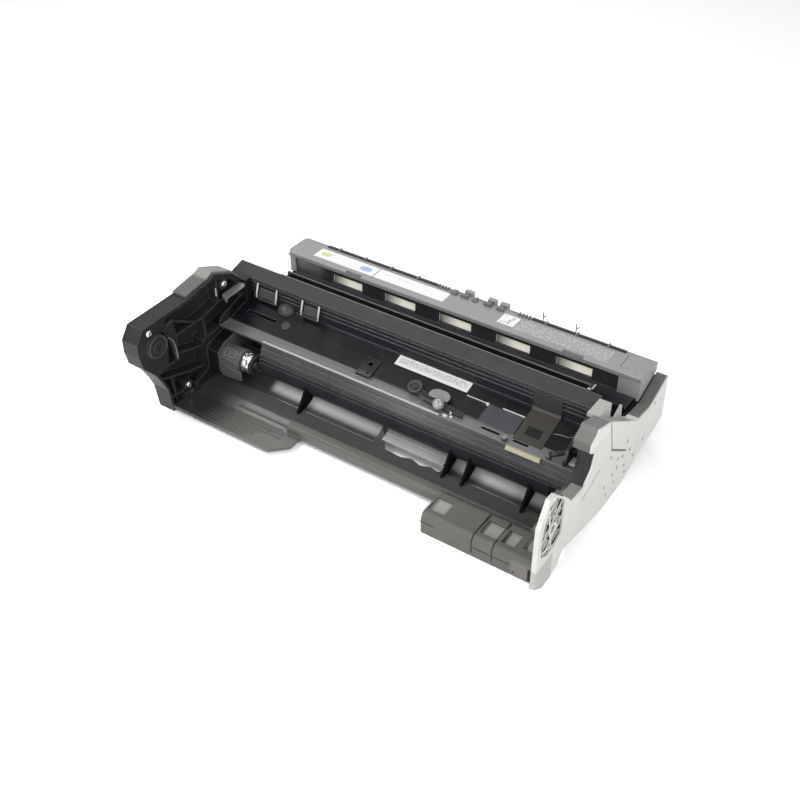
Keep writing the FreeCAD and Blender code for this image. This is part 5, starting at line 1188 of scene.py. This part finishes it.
def foot_marks():
    """Seams, the small hole and the dark cell on the foot."""
    form = Form()
    for x in FOOT_SEAMS:
        form.prism("X", x - SEAM_WIDTH / 2, x + SEAM_WIDTH / 2,
                   [(-77.08, 3.0), (-77.08, 14.0), (-74.1, 18.08), (-51.5, 18.08), (-51.5, 17.8),
                    (-74.0, 17.8), (-76.8, 14.0), (-76.8, 3.0)])
    form.turned(FOOT_HOLE, "Y", [(0.0, 0.9), (0.5, 0.9)], 14)
    form.block((159.6, -77.15, 1.6), (165.4, -76.6, 12.0))
    for start, end, width in FOOT_LINES:
        form.prism("Y", *FOOT_LINE_SPAN, thin_line(start, end, width))
    form.block((76.0, -50.6, 17.7), (160.0, -50.0, 18.1))
    form.piece("foot_seams", "black_plastic", PITCH_BLACK)


# Floor, light and camera

FLOOR_SIZE = 6.0
FLOOR_LEVEL = -0.0002
CAMERA_PLACE = (0.365, -0.538, 0.540)
CAMERA_TURN = (51.7, 0.0, 33.9)
CAMERA_LENS = 49.5
SKY_STRENGTH = 0.4
MIRRORED_SHARE = 0.45
WHITE = (1.0, 1.0, 1.0)
LAMP_TARGET = (0.0, 0.0, 0.03)
# Each lamp: its name, place, width and depth in metres, and power in watts
LAMPS = (
    ("key_lamp", (1.2, -0.35, 1.0), (0.8, 0.8), 12.0),
    ("front_lamp", (0.1, -1.3, 0.6), (1.1, 0.6), 11.0),
    ("overhead_lamp", (-0.56, -0.33, 1.0), (0.7, 0.22), 7.5),
    ("far_lamp", (-0.7, 1.1, 1.2), (0.9, 0.6), 5.0),
)


def placed(name, data, place=(0.0, 0.0, 0.0)):
    """An object for this data in the scene."""
    made = bpy.data.objects.new(name, data)
    made.location = place
    bpy.context.scene.collection.objects.link(made)
    return made


def white_floor():
    """Wide white sheet that only takes the object's soft shadow."""
    mesh = bpy.data.meshes.new("floor_sheet")
    half = FLOOR_SIZE / 2
    corners = [(x, y, FLOOR_LEVEL) for x, y in ((-half, -half), (half, -half), (half, half), (-half, half))]
    mesh.from_pydata(corners, [], [(0, 1, 2, 3)])
    mesh.materials.append(Finish("white sheet").surface(
        Base_Color=WHITE, Roughness=0.9, Specular_IOR_Level=0.1, Emission_Color=WHITE, Emission_Strength=0.1))
    placed("floor_sheet", mesh)


class Sky(NodeMaker):
    """The world: plain pale light on the object, and white where the camera, metal and glass see it."""
    def __init__(self):
        world = bpy.data.worlds.new("studio")
        bpy.context.scene.world = world
        world.use_nodes = True
        self.tree = world.node_tree
        self.tree.nodes.clear()
        rays = self.node("ShaderNodeLightPath")
        straight, mirrored, passed = [rays.beside(word) for word in
                                      ("Is Camera Ray", "Is Glossy Ray", "Is Transmission Ray")]
        dim = self.node("ShaderNodeBackground", None, {"Color": (0.96, 0.98, 1.0), "Strength": SKY_STRENGTH})
        white = self.node("ShaderNodeBackground", None, {"Color": WHITE, "Strength": 1.0})
        seen = straight + mirrored * MIRRORED_SHARE + passed
        shown = self.node("ShaderNodeMixShader", None, {0: seen, 1: dim, 2: white})
        self.node("ShaderNodeOutputWorld", None, {"Surface": shown})


def studio():
    """The sky and four broad lamps: near right, low in front, overhead and behind."""
    Sky()
    for name, place, (width, depth), power in LAMPS:
        lamp = bpy.data.lights.new(name, "AREA")
        lamp.shape = "RECTANGLE"
        lamp.size = width
        lamp.size_y = depth
        lamp.energy = power
        towards = Vector(LAMP_TARGET) - Vector(place)
        placed(name, lamp, place).rotation_euler = towards.to_track_quat("-Z", "Y").to_euler()


def view_camera():
    """The camera at the photograph's viewing angle."""
    camera = bpy.data.cameras.new("view")
    camera.lens = CAMERA_LENS
    camera.sensor_width = 36.0
    camera.clip_start = 0.01
    camera.clip_end = 20.0
    holder = placed("view", camera, CAMERA_PLACE)
    holder.rotation_euler = [math.radians(turn) for turn in CAMERA_TURN]
    bpy.context.scene.camera = holder


dress_frame()
bracket_screws()
coupling_parts()
sleeve_window()
contact_leaf()
bracket_rim_web()
bracket_trim()
wall_clips()
cradle_discs()
lever_parts()
floor_parts()
ledge_parts()
film_hook()
black_arm()
strip_pins()
cover_rails()
cover_trim()
slit_beads()
lens_lattice()
plate_marks()
guide_sheet()
window_shutter()
wing_ridges()
foot_marks()
white_floor()
studio()
view_camera()
bpy.context.scene.view_settings.view_transform = "Standard"
